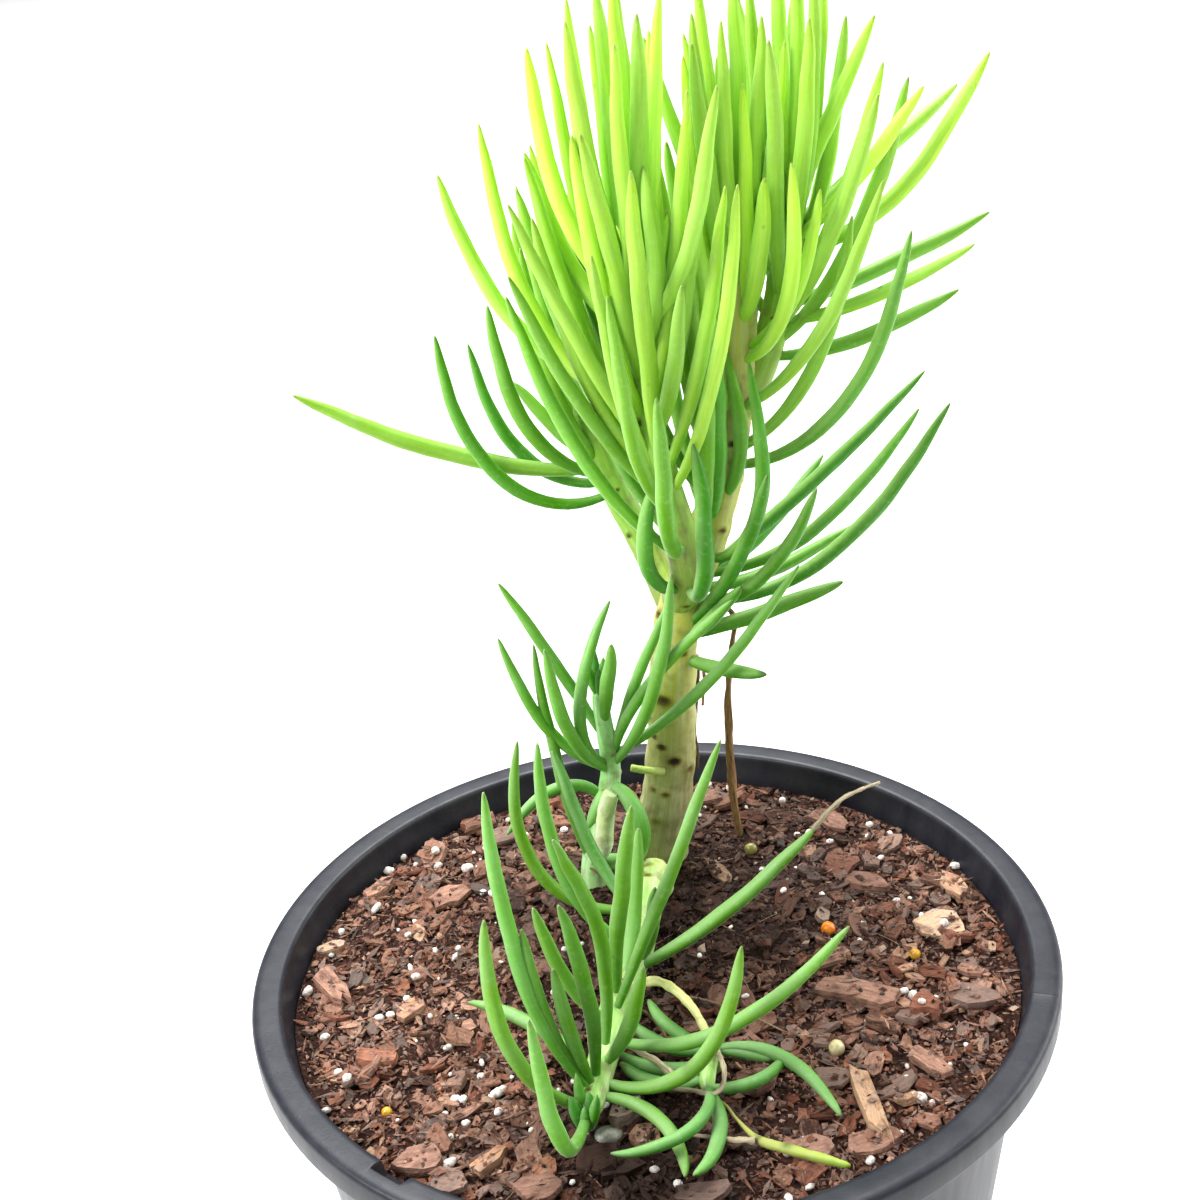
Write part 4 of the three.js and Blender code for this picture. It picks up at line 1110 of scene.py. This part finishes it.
    def fibres(self, ground):
        """Fine dead roots and bark fibres that lie across the mix."""
        draw = np.random.default_rng(33)
        body = Body()
        paths = list(FIBRES)
        for _ in range(46):
            x, y = anywhere(draw, 86)
            heading, path = draw.uniform(0, 6.28), [(x, y)]
            for _ in range(draw.integers(2, 5)):
                heading += draw.normal(0, 0.28)
                x, y = x + 3 * math.cos(heading), y + 3 * math.sin(heading)
                path.append((x, y))
            if max(math.hypot(*p) for p in path) < 90 and min(keep_clear(*p) for p in path) > 1:
                paths.append(path)
        for k, path in enumerate(paths):
            line = smooth_line([ground.place(x, y, 0.25 + draw.uniform(0, 0.5)) for x, y in path], 5)
            radius = (0.36 if k < 2 else draw.uniform(0.09, 0.2)) * np.linspace(1, 0.5, len(line))
            vertices, faces, share, angle = swept(line, radius, 6)
            grain = np.column_stack([np.cos(angle) * 2, np.sin(angle) * 2, share * 8]) + k * 13.0
            body.add(vertices, faces, stem_grain=grain, stem_share=share)
        body.build("root_fibres", [dry_fibre("dry root fibre", "#6f5540", "#b2967a")], "potting_mix")


# Leaves and stems

# Dark healed marks on single leaves: stem, number of the known leaf, share along it, half length in mm, depth
LEAF_MARKS = [
    ("front", 7, 0.42, 1.6, 0.9), ("front", 7, 0.78, 0.9, 0.45), ("back", 3, 0.5, 1.1, 0.8),
    ("main", 0, 0.97, 1.6, 0.9), ("main", 5, 0.93, 0.8, 0.5), ("left", 3, 0.36, 1.0, 0.6),
]
# How a leaf narrows at its tip: a higher first value starts later, a lower second one ends rounder. The
# third is its width as a share of the usual.
LEAF_TIPS = {"front": (5.5, 0.56, 0.9), "side": (5.0, 0.58, 0.95), "low": (5.0, 0.56, 1.0)}
# Leaves that differ from the rest: width as a share of the usual, tint from 0 to 1, minty, and how much
# younger it is
LEAF_LOOKS = {
    ("back", 3): (1.25, 0.1, 0.4), ("side", 2): (1.4, 1.0, 0.1), ("side", 0): (1.0, 0.75, 0.2),
    ("side", 1): (0.9, 0.8, 0.2), ("side", 3): (1.0, 0.3, 0.6), ("front", 2): (1.15, 0.2, 0.2),
}
# How much less youthful a stem's leaves are than their height says
STEM_AGE = {"right": 0.22, "main": 0.08, "left": -0.05}
# A stem whose leaves all have about the same tint: the low rosette's are dark and the side shoot's light,
# both minty.
LEAF_TINTS = {"low": (0.93, 0.955), "side": (0.96, 1.0)}
# Dark scars that show from the front: distance from the stem's foot, direction in degrees, size and depth
SHOWN_SCARS = {
    "main": [(71, -140, 0.9, 0.8), (68.5, -118, 1.1, 0.9), (64.5, -86, 1.3, 1.0), (54, -131, 0.9, 0.55),
             (53.5, -101, 1.0, 0.7), (83, -116, 1.8, 0.75), (61, -45, 1.3, 0.5), (44, -112, 1.3, 0.4),
             (76, -156, 0.8, 0.6)],
    "front": [(33, 70, 1.3, 0.8), (35, 112, 1.2, 0.7), (40, 96, 1.9, 0.45), (46, 80, 1.2, 0.7),
              (49, 116, 2.2, 0.35), (56, 100, 1.3, 0.5), (30, -60, 1.3, 0.6)],
}
# How big the tuft of unopened leaves is at each growing tip
BUDS = {"main": 1.0, "left": 1.0, "right": 1.0, "back": 0.9, "side": 0.6, "front": 0.5}
# Stem skins: fresh, aged and pale streaks
STEM_SKINS = {
    "green branch skin": ("#86b83a", "#8a9f44", "#a9cc60"),
    "mint side stem skin": ("#98d67c", "#bfe59a", "#d4f0c0"),
    "pale creeping stem skin": ("#93c85c", "#cfdd86", "#dcecb4"),
    "yellow runner skin": ("#dfe08c", "#e4dd9a", "#eceab8"),
    "fresh cut stub skin": ("#bcdc5c", "#c9dd70", "#dcea9c"),
    "old cut stub skin": ("#d6e8a0", "#dcefc4", "#eef6dc"),
}
# Each leafy piece: its name, the solid that it stands for, its leaf and stem materials and its finish
LEAFY_PIECES = {
    "main": ("main_head", "crown_main_stem", "waxy crown leaf", "olive stem skin", "crown_leaf"),
    "left": ("left_head", "crown_left_stem", "waxy crown leaf", "green branch skin", "crown_leaf"),
    "right": ("right_head", "crown_right_stem", "waxy crown leaf", "green branch skin", "crown_leaf"),
    "back": ("back_head", "crown_back_stem", "waxy crown leaf", "green branch skin", "crown_leaf"),
    "side": ("side_leaves", "side_shoot", "waxy shoot leaf", "mint side stem skin", "shoot_leaf"),
    "front": ("front_leaves", "front_shoot", "waxy shoot leaf", "pale creeping stem skin", "shoot_leaf"),
    "low": ("low_leaves", "low_shoot", "waxy shoot leaf", "pale creeping stem skin", "shoot_leaf"),
}


def leaf_section(angle, share):
    """The upper side faces the stem and is flatter, with a faint channel towards the root."""
    up = np.sin(angle)
    return 1 - 0.15 * np.maximum(up, 0) ** 2 - 0.05 * np.exp(-((up - 1) / 0.06) ** 2) * (1 - share)


def add_leaf(body, leaf, number, settings):
    """One finger leaf: nearly round, flatter on its upper side, with a blunt point and a slight crook."""
    seed = 1000 + 37 * number
    draw = np.random.default_rng(seed)
    stem, (distance, azimuth, length, *_) = leaf["stem"], leaf["row"]
    rank = distance / LENGTHS[stem]
    sink = LEAF_SINK * stem_radius(stem, rank)
    rings = np.concatenate([np.linspace(0, 0.84, 22), [0.88, 0.915, 0.945, 0.968, 0.985, 0.995]])
    line = at_distance(leaf["points"], sink + rings * (length - sink))
    heading = math.radians(azimuth)
    first_side = (-math.sin(heading), math.cos(heading), 0)
    side, over = carried_frames(line, first_side)
    crook = settings.leaf_crook / MM * smoothstep(rings / 0.4) * (0.4 + 0.6 * rings)
    line = line + side * (ripple(rings * length, seed, 62) * crook)[:, None]
    line = line + over * (ripple(rings * length, seed + 1, 55) * crook * 0.6)[:, None]
    blunt, round_end, slim = LEAF_TIPS.get(stem, (draw.uniform(4.4, 6.6), 0.62, 1))
    wider, tint, younger = LEAF_LOOKS.get(
        (stem, leaf["known"]), (1, draw.uniform(*LEAF_TINTS.get(stem, (0, 1))), 0))
    wider *= slim * draw.uniform(0.88, 1.08)
    width = LEAF_HALF_WIDTH[stem] * settings.leaf_width * wider * leaf_shape(rings, blunt, round_end)
    width = width * (1 + 0.035 * ripple(rings * length, seed + 2, 24))
    vertices, faces, share, angle = swept(line, width, 14, first_side, leaf_section)
    mark = np.zeros(len(vertices))
    for *marked, at, half, depth in LEAF_MARKS:
        if marked == [stem, leaf["known"]]:
            near = np.abs(share - at) * length / half
            mark = np.maximum(mark, depth * np.clip(1.2 - near, 0, 1) * (0.55 + 0.45 * np.cos(angle - 1.2)))
    height = float(line[:, 2].mean())
    # Leaves higher up get more of the young lime: partly real, as new leaves come at the top, partly painted
    # light for the brightly lit crown top.
    youth = smoothstep((height - 297) / 70) * 0.85 + 0.15 * rank + draw.uniform(-0.13, 0.13)
    youth += younger - STEM_AGE.get(stem, 0)
    grain = np.column_stack([np.cos(angle) * 2, np.sin(angle) * 2, share * length * 0.05]) + number * 7.0
    body.add(vertices, faces, leaf_share=share, leaf_tint=tint, leaf_youth=np.clip(youth, 0, 1),
             leaf_mark=mark, stem_grain=grain)


def add_stem(body, name, first, last, slot=1, sides=40, scar_every=4.2, round_end=True, swell=0.03):
    """A length of stem with dropped-leaf scars on the golden angle and slightly swollen joints."""
    total = LENGTHS[name]
    where = np.linspace(first, last, max(8, int((last - first) / 0.8)))
    radii = stem_radius(name, where / total) * (1 + swell * ripple(where, len(name) * 7, 17))
    if round_end:
        radii = radii * np.sqrt(np.clip((last - where) / 3.0, 0.02, 1))
    line = at_distance(LINES[name], where)
    vertices, faces, share, angle = swept(line, radii, sides, crisp_ends=not round_end or first > 0)
    far = first + share * (last - first)
    draw = np.random.default_rng(len(name) * 101 + int(first))
    turn, place = 0.0, first + 2
    scars = []
    while place < last - 2:
        turn += GOLDEN_ANGLE + draw.uniform(-11, 11)
        # The trunk's front has only the scars that show.
        if name != "main" or place > TRUNK_TOP or apart(turn, -95) > 85:
            scars.append((place, turn, 1.0, draw.uniform(0.75, 1)))
        place += scar_every * draw.uniform(0.7, 1.35)
    if first < TRUNK_TOP:
        scars += SHOWN_SCARS.get(name, [])
    scar = np.zeros(len(vertices))
    lift = np.zeros(len(vertices))
    for place, turn, size, depth in scars:
        radius = stem_radius(name, place / total)
        across = np.abs((angle - math.radians(turn) + math.pi) % (2 * math.pi) - math.pi) * radius
        near = np.hypot(across / 1.3, (far - place) / 0.9) / min(1, radius / 6) / size
        scar = np.maximum(scar, np.clip(1.45 - near, 0, 1) * depth)
        lift += 0.35 * np.exp(-((near - 1.1) / 0.5) ** 2) - 0.3 * np.exp(-(near / 0.6) ** 2)
    out = vertices - at_distance(LINES[name], far)
    length = np.linalg.norm(out, axis=1)
    vertices = vertices + out / np.maximum(length, 0.3)[:, None] * (lift * np.minimum(1, length / 2))[:, None]
    around = np.column_stack([np.cos(angle), np.sin(angle)]) * stem_radius(name, 0.5)
    grain = np.column_stack([around * 0.75, far * 0.07])
    body.add(vertices, faces, slot, stem_share=far / total, stem_scar=scar, stem_grain=grain)


def add_bud(body, name, size):
    """The tuft of unopened leaves at a growing tip."""
    radius = STEM_RADII[name][1]
    draw = np.random.default_rng(len(name) * 13)
    s = np.linspace(0, 1, 9)
    for i in range(7):
        turn = math.radians(i * GOLDEN_ANGLE)
        lean = math.radians(84 - 2.5 * i)
        length = (10 + 2.6 * i) * size
        outward = np.array([math.cos(turn), math.sin(turn), 0])
        base = LINES[name][-1] - (0, 0, 3) + outward * radius * 0.3
        direction = outward * math.cos(lean) + (0, 0, math.sin(lean))
        points = base + direction * (s * length)[:, None] - outward * (s ** 2 * radius * 0.25)[:, None]
        vertices, faces, share, _ = swept(points, 1.5 * leaf_shape(s * 0.99, 3.2), 10)
        body.add(vertices, faces, leaf_share=0.15 + share * 0.85, leaf_tint=draw.uniform(), leaf_youth=1)


def plant_materials(settings):
    """The plant's finishes, made once and shared by its pieces."""
    made = bpy.data.materials
    if "waxy crown leaf" not in made:
        # The last two values: strength and tint of the painted highlight on the leaves' side towards the
        # light.
        waxy_leaf("waxy crown leaf", settings.young_leaf, settings.crown_leaf, 0.1, 0.36, "#ceee9c")
        waxy_leaf("waxy shoot leaf", settings.crown_leaf, settings.shoot_leaf, 0.16, 0.32, "#c2dcae")
        stem_skin("olive stem skin", settings.trunk_skin, "#97946a", "#c2c48e")
        for name, colours in STEM_SKINS.items():
            stem_skin(name, *colours)
    return made


def leafy_piece(settings, stem, first=0, sides=40, swell=0.03):
    """A stem with all its leaves and the bud at its tip, as one piece."""
    name, solid, leaf_skin, skin, finish = LEAFY_PIECES[stem]
    made = plant_materials(settings)
    body = Body()
    for number, leaf in enumerate(PLANT):
        if leaf["stem"] == stem:
            add_leaf(body, leaf, number, settings)
    add_stem(body, stem, first, LENGTHS[stem], sides=sides, swell=swell)
    if stem in BUDS:
        add_bud(body, stem, BUDS[stem])
    body.build(name, [made[leaf_skin], made[skin]], finish, [solid])


PLANT = grow_leaves()


class CHALKSTICKS_OT_trunk(bpy.types.Operator):
    """Bare olive trunk with the scars of dropped leaves"""

    bl_idname = "chalksticks.trunk"
    bl_label = "Trunk"

    def execute(self, context):
        made = plant_materials(context.scene.chalksticks_plant)
        body = Body()
        add_stem(body, "main", 0, TRUNK_TOP, 0, 56, 5.2, round_end=False, swell=0.05)
        body.build("bare_trunk", [made["olive stem skin"]], "trunk_skin", ["trunk"])
        return {"FINISHED"}


class CHALKSTICKS_OT_crown(bpy.types.Operator):
    """The crown's four leafy heads"""

    bl_idname = "chalksticks.crown"
    bl_label = "Crown"

    def execute(self, context):
        settings = context.scene.chalksticks_plant
        leafy_piece(settings, "main", TRUNK_TOP, 56, 0.05)
        for stem in FORKS:
            leafy_piece(settings, stem)
        return {"FINISHED"}


class CHALKSTICKS_OT_shoots(bpy.types.Operator):
    """The side, front and low shoots"""

    bl_idname = "chalksticks.shoots"
    bl_label = "Lower Shoots"

    def execute(self, context):
        for stem in ("side", "front", "low"):
            leafy_piece(context.scene.chalksticks_plant, stem)
        return {"FINISHED"}


# Roots and dried remains

# Dried stalks: points, radius from end to end, seed, and how far the wrinkles turn on their way
DARK_REMAINS = [
    ([(20, 60, 236), (18.8, 57.6, 226), (17.9, 57.2, 218), (18.3, 57.2, 211), (18, 57, 206)],
     (0.6, 0.3), 40, 30),
    ([(-27.5, 48.6, 186.4), (-26.6, 47.3, 186), (-24.5, 44, 185.4), (-22.9, 41.7, 184)], (0.5, 0.3), 41, 30),
    ([(-19.5, 49.3, 186), (-16.5, 46.5, 186.8), (-14.1, 38.2, 187.6), (-8.6, 36.5, 185)],
     (0.45, 0.3), 42, 30),
    ([(-7, -20.3, 186), (-2.3, -24, 185.6), (0.7, -30.8, 185.4), (1.2, -37, 185)], (0.55, 0.35), 43, 30),
]
PALE_REMAINS = [
    ([(-12.6, -38, 192.6), (-8.9, -39, 190.4), (-5.5, -40.8, 189), (-1.5, -44, 188), (2.2, -47.6, 186.4)],
     (0.6, 0.9), 60, 22),
    ([(1.1, -50.9, 186), (5.1, -53.6, 187.4), (8.4, -57.2, 189.4), (10.8, -58.8, 190.4), (12.6, -56.9, 191),
      (13.3, -53.2, 191.5), (13.2, -48.6, 191), (12.4, -43, 189.6)], (0.5, 0.6), 61, 22),
    ([(4, -66.3, 186), (8.7, -68, 186.2), (13.2, -69.8, 186.6), (18.1, -70.4, 186.4)], (0.35, 0.8), 62, 22),
    ([(42.8, 2.7, 217.8), (46.4, 3.6, 221.4), (50.6, 4.8, 224.6), (55.4, 6.2, 226), (60.7, 7.4, 227)],
     (0.75, 0.35), 63, 22),
]
WITHERED_LEAF = [(9.1, -55.6, 187), (12.7, -58.4, 186.5), (15.1, -63.1, 186), (19.2, -69.9, 186),
                 (25.3, -74.2, 186.5), (31.3, -77.9, 187), (37.3, -81, 187)]
OLD_STUB = [(-12.5, 40, 191), (-10.6, 37.4, 195), (-9.7, 36.6, 202), (-8.4, 36.4, 209.5), (-7.2, 36.4, 213)]
CUT_STUB = [(8, 48.6, 211), (5.6, 47.6, 211.9), (2, 46.6, 213.3), (-0.9, 46.3, 214.3)]


def add_strand(body, points, radii, seed, twist=0.0, sides=10, knots=1.0):
    """A root or stalk along points, wrinkled lengthwise and slightly knotted."""
    line = smooth_line(points, 10)
    length = distances(line)[-1]
    share = distances(line) / length
    radius = np.interp(share, np.linspace(0, 1, len(radii)), radii) * (
        1 + 0.16 * knots * ripple(share * 60, seed, 11))
    vertices, faces, far, angle = swept(line, radius, sides, shape=lambda a, s: 1 + knots * (
        0.16 * np.sin(3 * a + s * twist) + 0.06 * np.sin(5 * a - s * 31)))
    grain = np.column_stack([np.cos(angle) * 1.6, np.sin(angle) * 1.6, far * length * 0.12]) + seed
    body.add(vertices, faces, stem_share=far, stem_grain=grain)


def strand_piece(name, strands, material, slot, replaces=()):
    """Makes one piece of strands, each given by what add_strand takes."""
    body = Body()
    for strand in strands:
        add_strand(body, *strand)
    body.build(name, [material], slot, replaces)


class CHALKSTICKS_OT_roots(bpy.types.Operator):
    """Hanging aerial roots and the runner"""

    bl_idname = "chalksticks.roots"
    bl_label = "Roots and Runner"

    def execute(self, context):
        made = plant_materials(context.scene.chalksticks_plant)
        brown = dry_fibre("dry aerial root", "#5a4028", "#b08a58")
        # A thinner root winds about the long one.
        offset = np.array([0.7, -0.3, 0])
        beside = [np.array(p) + offset * math.cos(k * 2.1) for k, p in enumerate(LONG_ROOT)]
        strand_piece(
            "hanging_root",
            [(LONG_ROOT, (0.7, 0.6, 0.8, 1.2, 1.1, 0.8), 3, 40),
             (beside, (0.5, 0.5, 0.6, 0.8, 0.8, 0.5), 9, 52)],
            brown, "dry_root", ["aerial_root_long"])
        strand_piece("short_hanging_root", [(SHORT_ROOT, (0.75, 0.4), 5, 30)], brown, "dry_root",
                     ["aerial_root_short"])
        strand_piece("yellow_runner", [(RUNNER, (1.15, 0.95), 12, 4, 18)], made["yellow runner skin"],
                     "runner_skin", ["runner"])
        return {"FINISHED"}


class CHALKSTICKS_OT_remains(bpy.types.Operator):
    """Dried stalks and roots, a withered leaf on the mix and a cut leaf stub on the trunk"""

    bl_idname = "chalksticks.remains"
    bl_label = "Dried Remains"

    def execute(self, context):
        made = plant_materials(context.scene.chalksticks_plant)
        dark = dry_fibre("dark dry stalk", "#3f3024", "#8f7453")
        strand_piece("dark_dry_stalks", DARK_REMAINS, dark, "dry_root")
        pale = dry_fibre("bleached dry stalk", "#8d7a5e", "#d8cba8")
        strand_piece("pale_dry_stalks", PALE_REMAINS, pale, "dry_root")
        self.withered_leaf()
        strand_piece("cut_leaf_stub", [(CUT_STUB, (1.1, 1.0), 75, 2, 14, 0.3)], made["fresh cut stub skin"],
                     "shoot_leaf")
        strand_piece("old_cut_stub", [(OLD_STUB, (2.2, 2.6, 2.6, 2.4, 1.9), 79, 2, 24, 0.25)],
                     made["old cut stub skin"], "shoot_leaf")
        return {"FINISHED"}

    def withered_leaf(self):
        """A shrunken yellow leaf with a dry stalk and two dark bands."""
        line = smooth_line(WITHERED_LEAF, 8)
        share = distances(line) / distances(line)[-1]
        radius = 0.35 + 0.85 * smoothstep((share - 0.22) / 0.4) * (1 - share ** 9) ** 0.5
        radius = radius * (1 + 0.12 * ripple(share * 40, 4, 9))
        vertices, faces, far, angle = swept(
            line, radius, 16, shape=lambda a, s: 1 + 0.1 * np.sin(3 * a + s * 9) * (1 - 0.6 * s))
        mark = np.clip(1.1 - np.abs(far - 0.45) / 0.03, 0, 1) * 0.7 + np.clip(0.24 - far, 0, 0.2) * 3
        band = np.clip(1 - np.abs(far - 0.63) / 0.05, 0, 1) * np.clip(np.cos(angle - 1.2), 0, 1) * 0.8
        leaf = Body()
        leaf.add(vertices, faces, leaf_share=0.3 + 0.6 * far, leaf_tint=0.3, leaf_youth=far,
                 leaf_mark=np.maximum(mark, band))
        # The last two values: strength and tint of the painted highlight on its side towards the light.
        yellowed = waxy_leaf("yellowed leaf skin", "#90ac34", "#a08a52", 0.05, 0.25, "#cdd88e")
        leaf.build("withered_leaf", [yellowed], "shoot_leaf")


# Studio

def placed_matrix(place, right, up, back):
    matrix = np.eye(4)
    matrix[:3] = np.column_stack([right, up, back, place])
    return Matrix(matrix.tolist())


class CHALKSTICKS_OT_stage(bpy.types.Operator):
    """Pale floor, even white surround, large soft lights and the camera"""

    bl_idname = "chalksticks.stage"
    bl_label = "Studio"

    def execute(self, context):
        settings = context.scene.chalksticks_stage
        columns = 9
        steps = np.linspace(-settings.floor_size / 2, settings.floor_size / 2, columns)
        vertices = [(x, y, 0.0) for y in steps for x in steps]
        faces = [(i * columns + j, i * columns + j + 1, (i + 1) * columns + j + 1, (i + 1) * columns + j)
                 for i in range(columns - 1) for j in range(columns - 1)]
        mesh = bpy.data.meshes.new("studio_floor")
        mesh.from_pydata(vertices, [], faces)
        mesh.polygons.foreach_set("use_smooth", [True] * len(faces))
        mesh.materials.append(painted_studio_floor("matt white studio paint", settings.floor))
        floor = bpy.data.objects.new("studio_floor", mesh)
        context.scene.collection.objects.link(floor)
        world = bpy.data.worlds.new("white_surround")
        world.use_nodes = True
        surround = world.node_tree.nodes["Background"]
        surround.inputs["Color"].default_value = linear("#fbfcff")
        surround.inputs["Strength"].default_value = settings.sky_strength
        context.scene.world = world
        context.scene.view_settings.view_transform = "Standard"
        power = settings.key_power
        self.light(context, "key_softbox", (-1.05, -0.5, 1.3), (0, 0, 0.25), 0.7, power)
        self.light(context, "top_softbox", (0.15, 0.35, 1.6), (0.03, 0.05, 0.3), 1.2, power * 0.18)
        self.light(context, "right_softbox", (1.0, 0.3, 0.7), (0.02, 0.04, 0.25), 0.8, power * 0.42)
        # It whitens the floor behind the plant and lights the leaves' edges.
        self.light(context, "back_softbox", (-0.2, 2.4, 3.8), (-0.2, 2.8, 0), 2.2, power * 10.5)
        self.camera(context)
        return {"FINISHED"}

    def light(self, context, name, place, target, size, power):
        lamp = bpy.data.lights.new(name, "AREA")
        lamp.shape = "SQUARE"
        lamp.size = size
        lamp.energy = power
        holder = bpy.data.objects.new(name, lamp)
        context.scene.collection.objects.link(holder)
        aim = np.array(target) - np.array(place)
        back = -aim / np.linalg.norm(aim)
        right = np.cross((0, 0, 1), back)
        right /= np.linalg.norm(right)
        holder.matrix_world = placed_matrix(place, right, np.cross(back, right), back)

    def camera(self, context):
        """The photo's view: 25 degrees down, rolled 5 degrees, with a 51 mm lens on a 36 mm square."""
        rise, roll = math.radians(25.15), math.radians(-5.07)
        back = np.array([0, -math.cos(rise), math.sin(rise)])
        level = np.array([1.0, 0, 0])
        upright = np.cross(back, level)
        right = math.cos(roll) * level + math.sin(roll) * upright
        up = math.cos(roll) * upright - math.sin(roll) * level
        lens = bpy.data.cameras.new("photo_view")
        lens.sensor_width = 36
        lens.lens = 51
        lens.clip_start = 0.02
        lens.clip_end = 30
        camera = bpy.data.objects.new("photo_view", lens)
        context.scene.collection.objects.link(camera)
        camera.matrix_world = placed_matrix((-0.0054, -0.3577, 0.4557), right, up, back)
        context.scene.camera = camera


# Panel and running

class CHALKSTICKS_PT_panel(bpy.types.Panel):
    """Lists the pieces of the potted plant"""

    bl_idname = "CHALKSTICKS_PT_panel"
    bl_label = "Potted Chalk Sticks"
    bl_space_type = "VIEW_3D"
    bl_region_type = "UI"
    bl_category = "Succulent"

    def draw(self, context):
        for settings in SETTINGS:
            box = self.layout.box()
            box.label(text=SETTINGS[settings].__doc__)
            group = getattr(context.scene, settings)
            for name in group.bl_rna.properties.keys():
                if name not in ("rna_type", "name"):
                    box.prop(group, name)
        for operator in OPERATORS:
            self.layout.operator(operator.bl_idname)


SETTINGS = {
    "chalksticks_plant": ChalkSticksPlantSettings,
    "chalksticks_pot": ChalkSticksPotSettings,
    "chalksticks_mix": ChalkSticksMixSettings,
    "chalksticks_stage": ChalkSticksStageSettings,
}
OPERATORS = (CHALKSTICKS_OT_pot, CHALKSTICKS_OT_mix, CHALKSTICKS_OT_trunk, CHALKSTICKS_OT_crown,
             CHALKSTICKS_OT_shoots, CHALKSTICKS_OT_roots, CHALKSTICKS_OT_remains, CHALKSTICKS_OT_stage)


def register():
    for kind in (*SETTINGS.values(), *OPERATORS, CHALKSTICKS_PT_panel):
        bpy.utils.register_class(kind)
    for name, group in SETTINGS.items():
        setattr(bpy.types.Scene, name, PointerProperty(type=group))


def unregister():
    for name in SETTINGS:
        delattr(bpy.types.Scene, name)
    for kind in (CHALKSTICKS_PT_panel, *reversed(OPERATORS), *reversed(SETTINGS.values())):
        bpy.utils.unregister_class(kind)


def main():
    register()
    for operator in OPERATORS:
        group, name = operator.bl_idname.split(".")
        getattr(getattr(bpy.ops, group), name)()


if __name__ == "__main__":
    main()
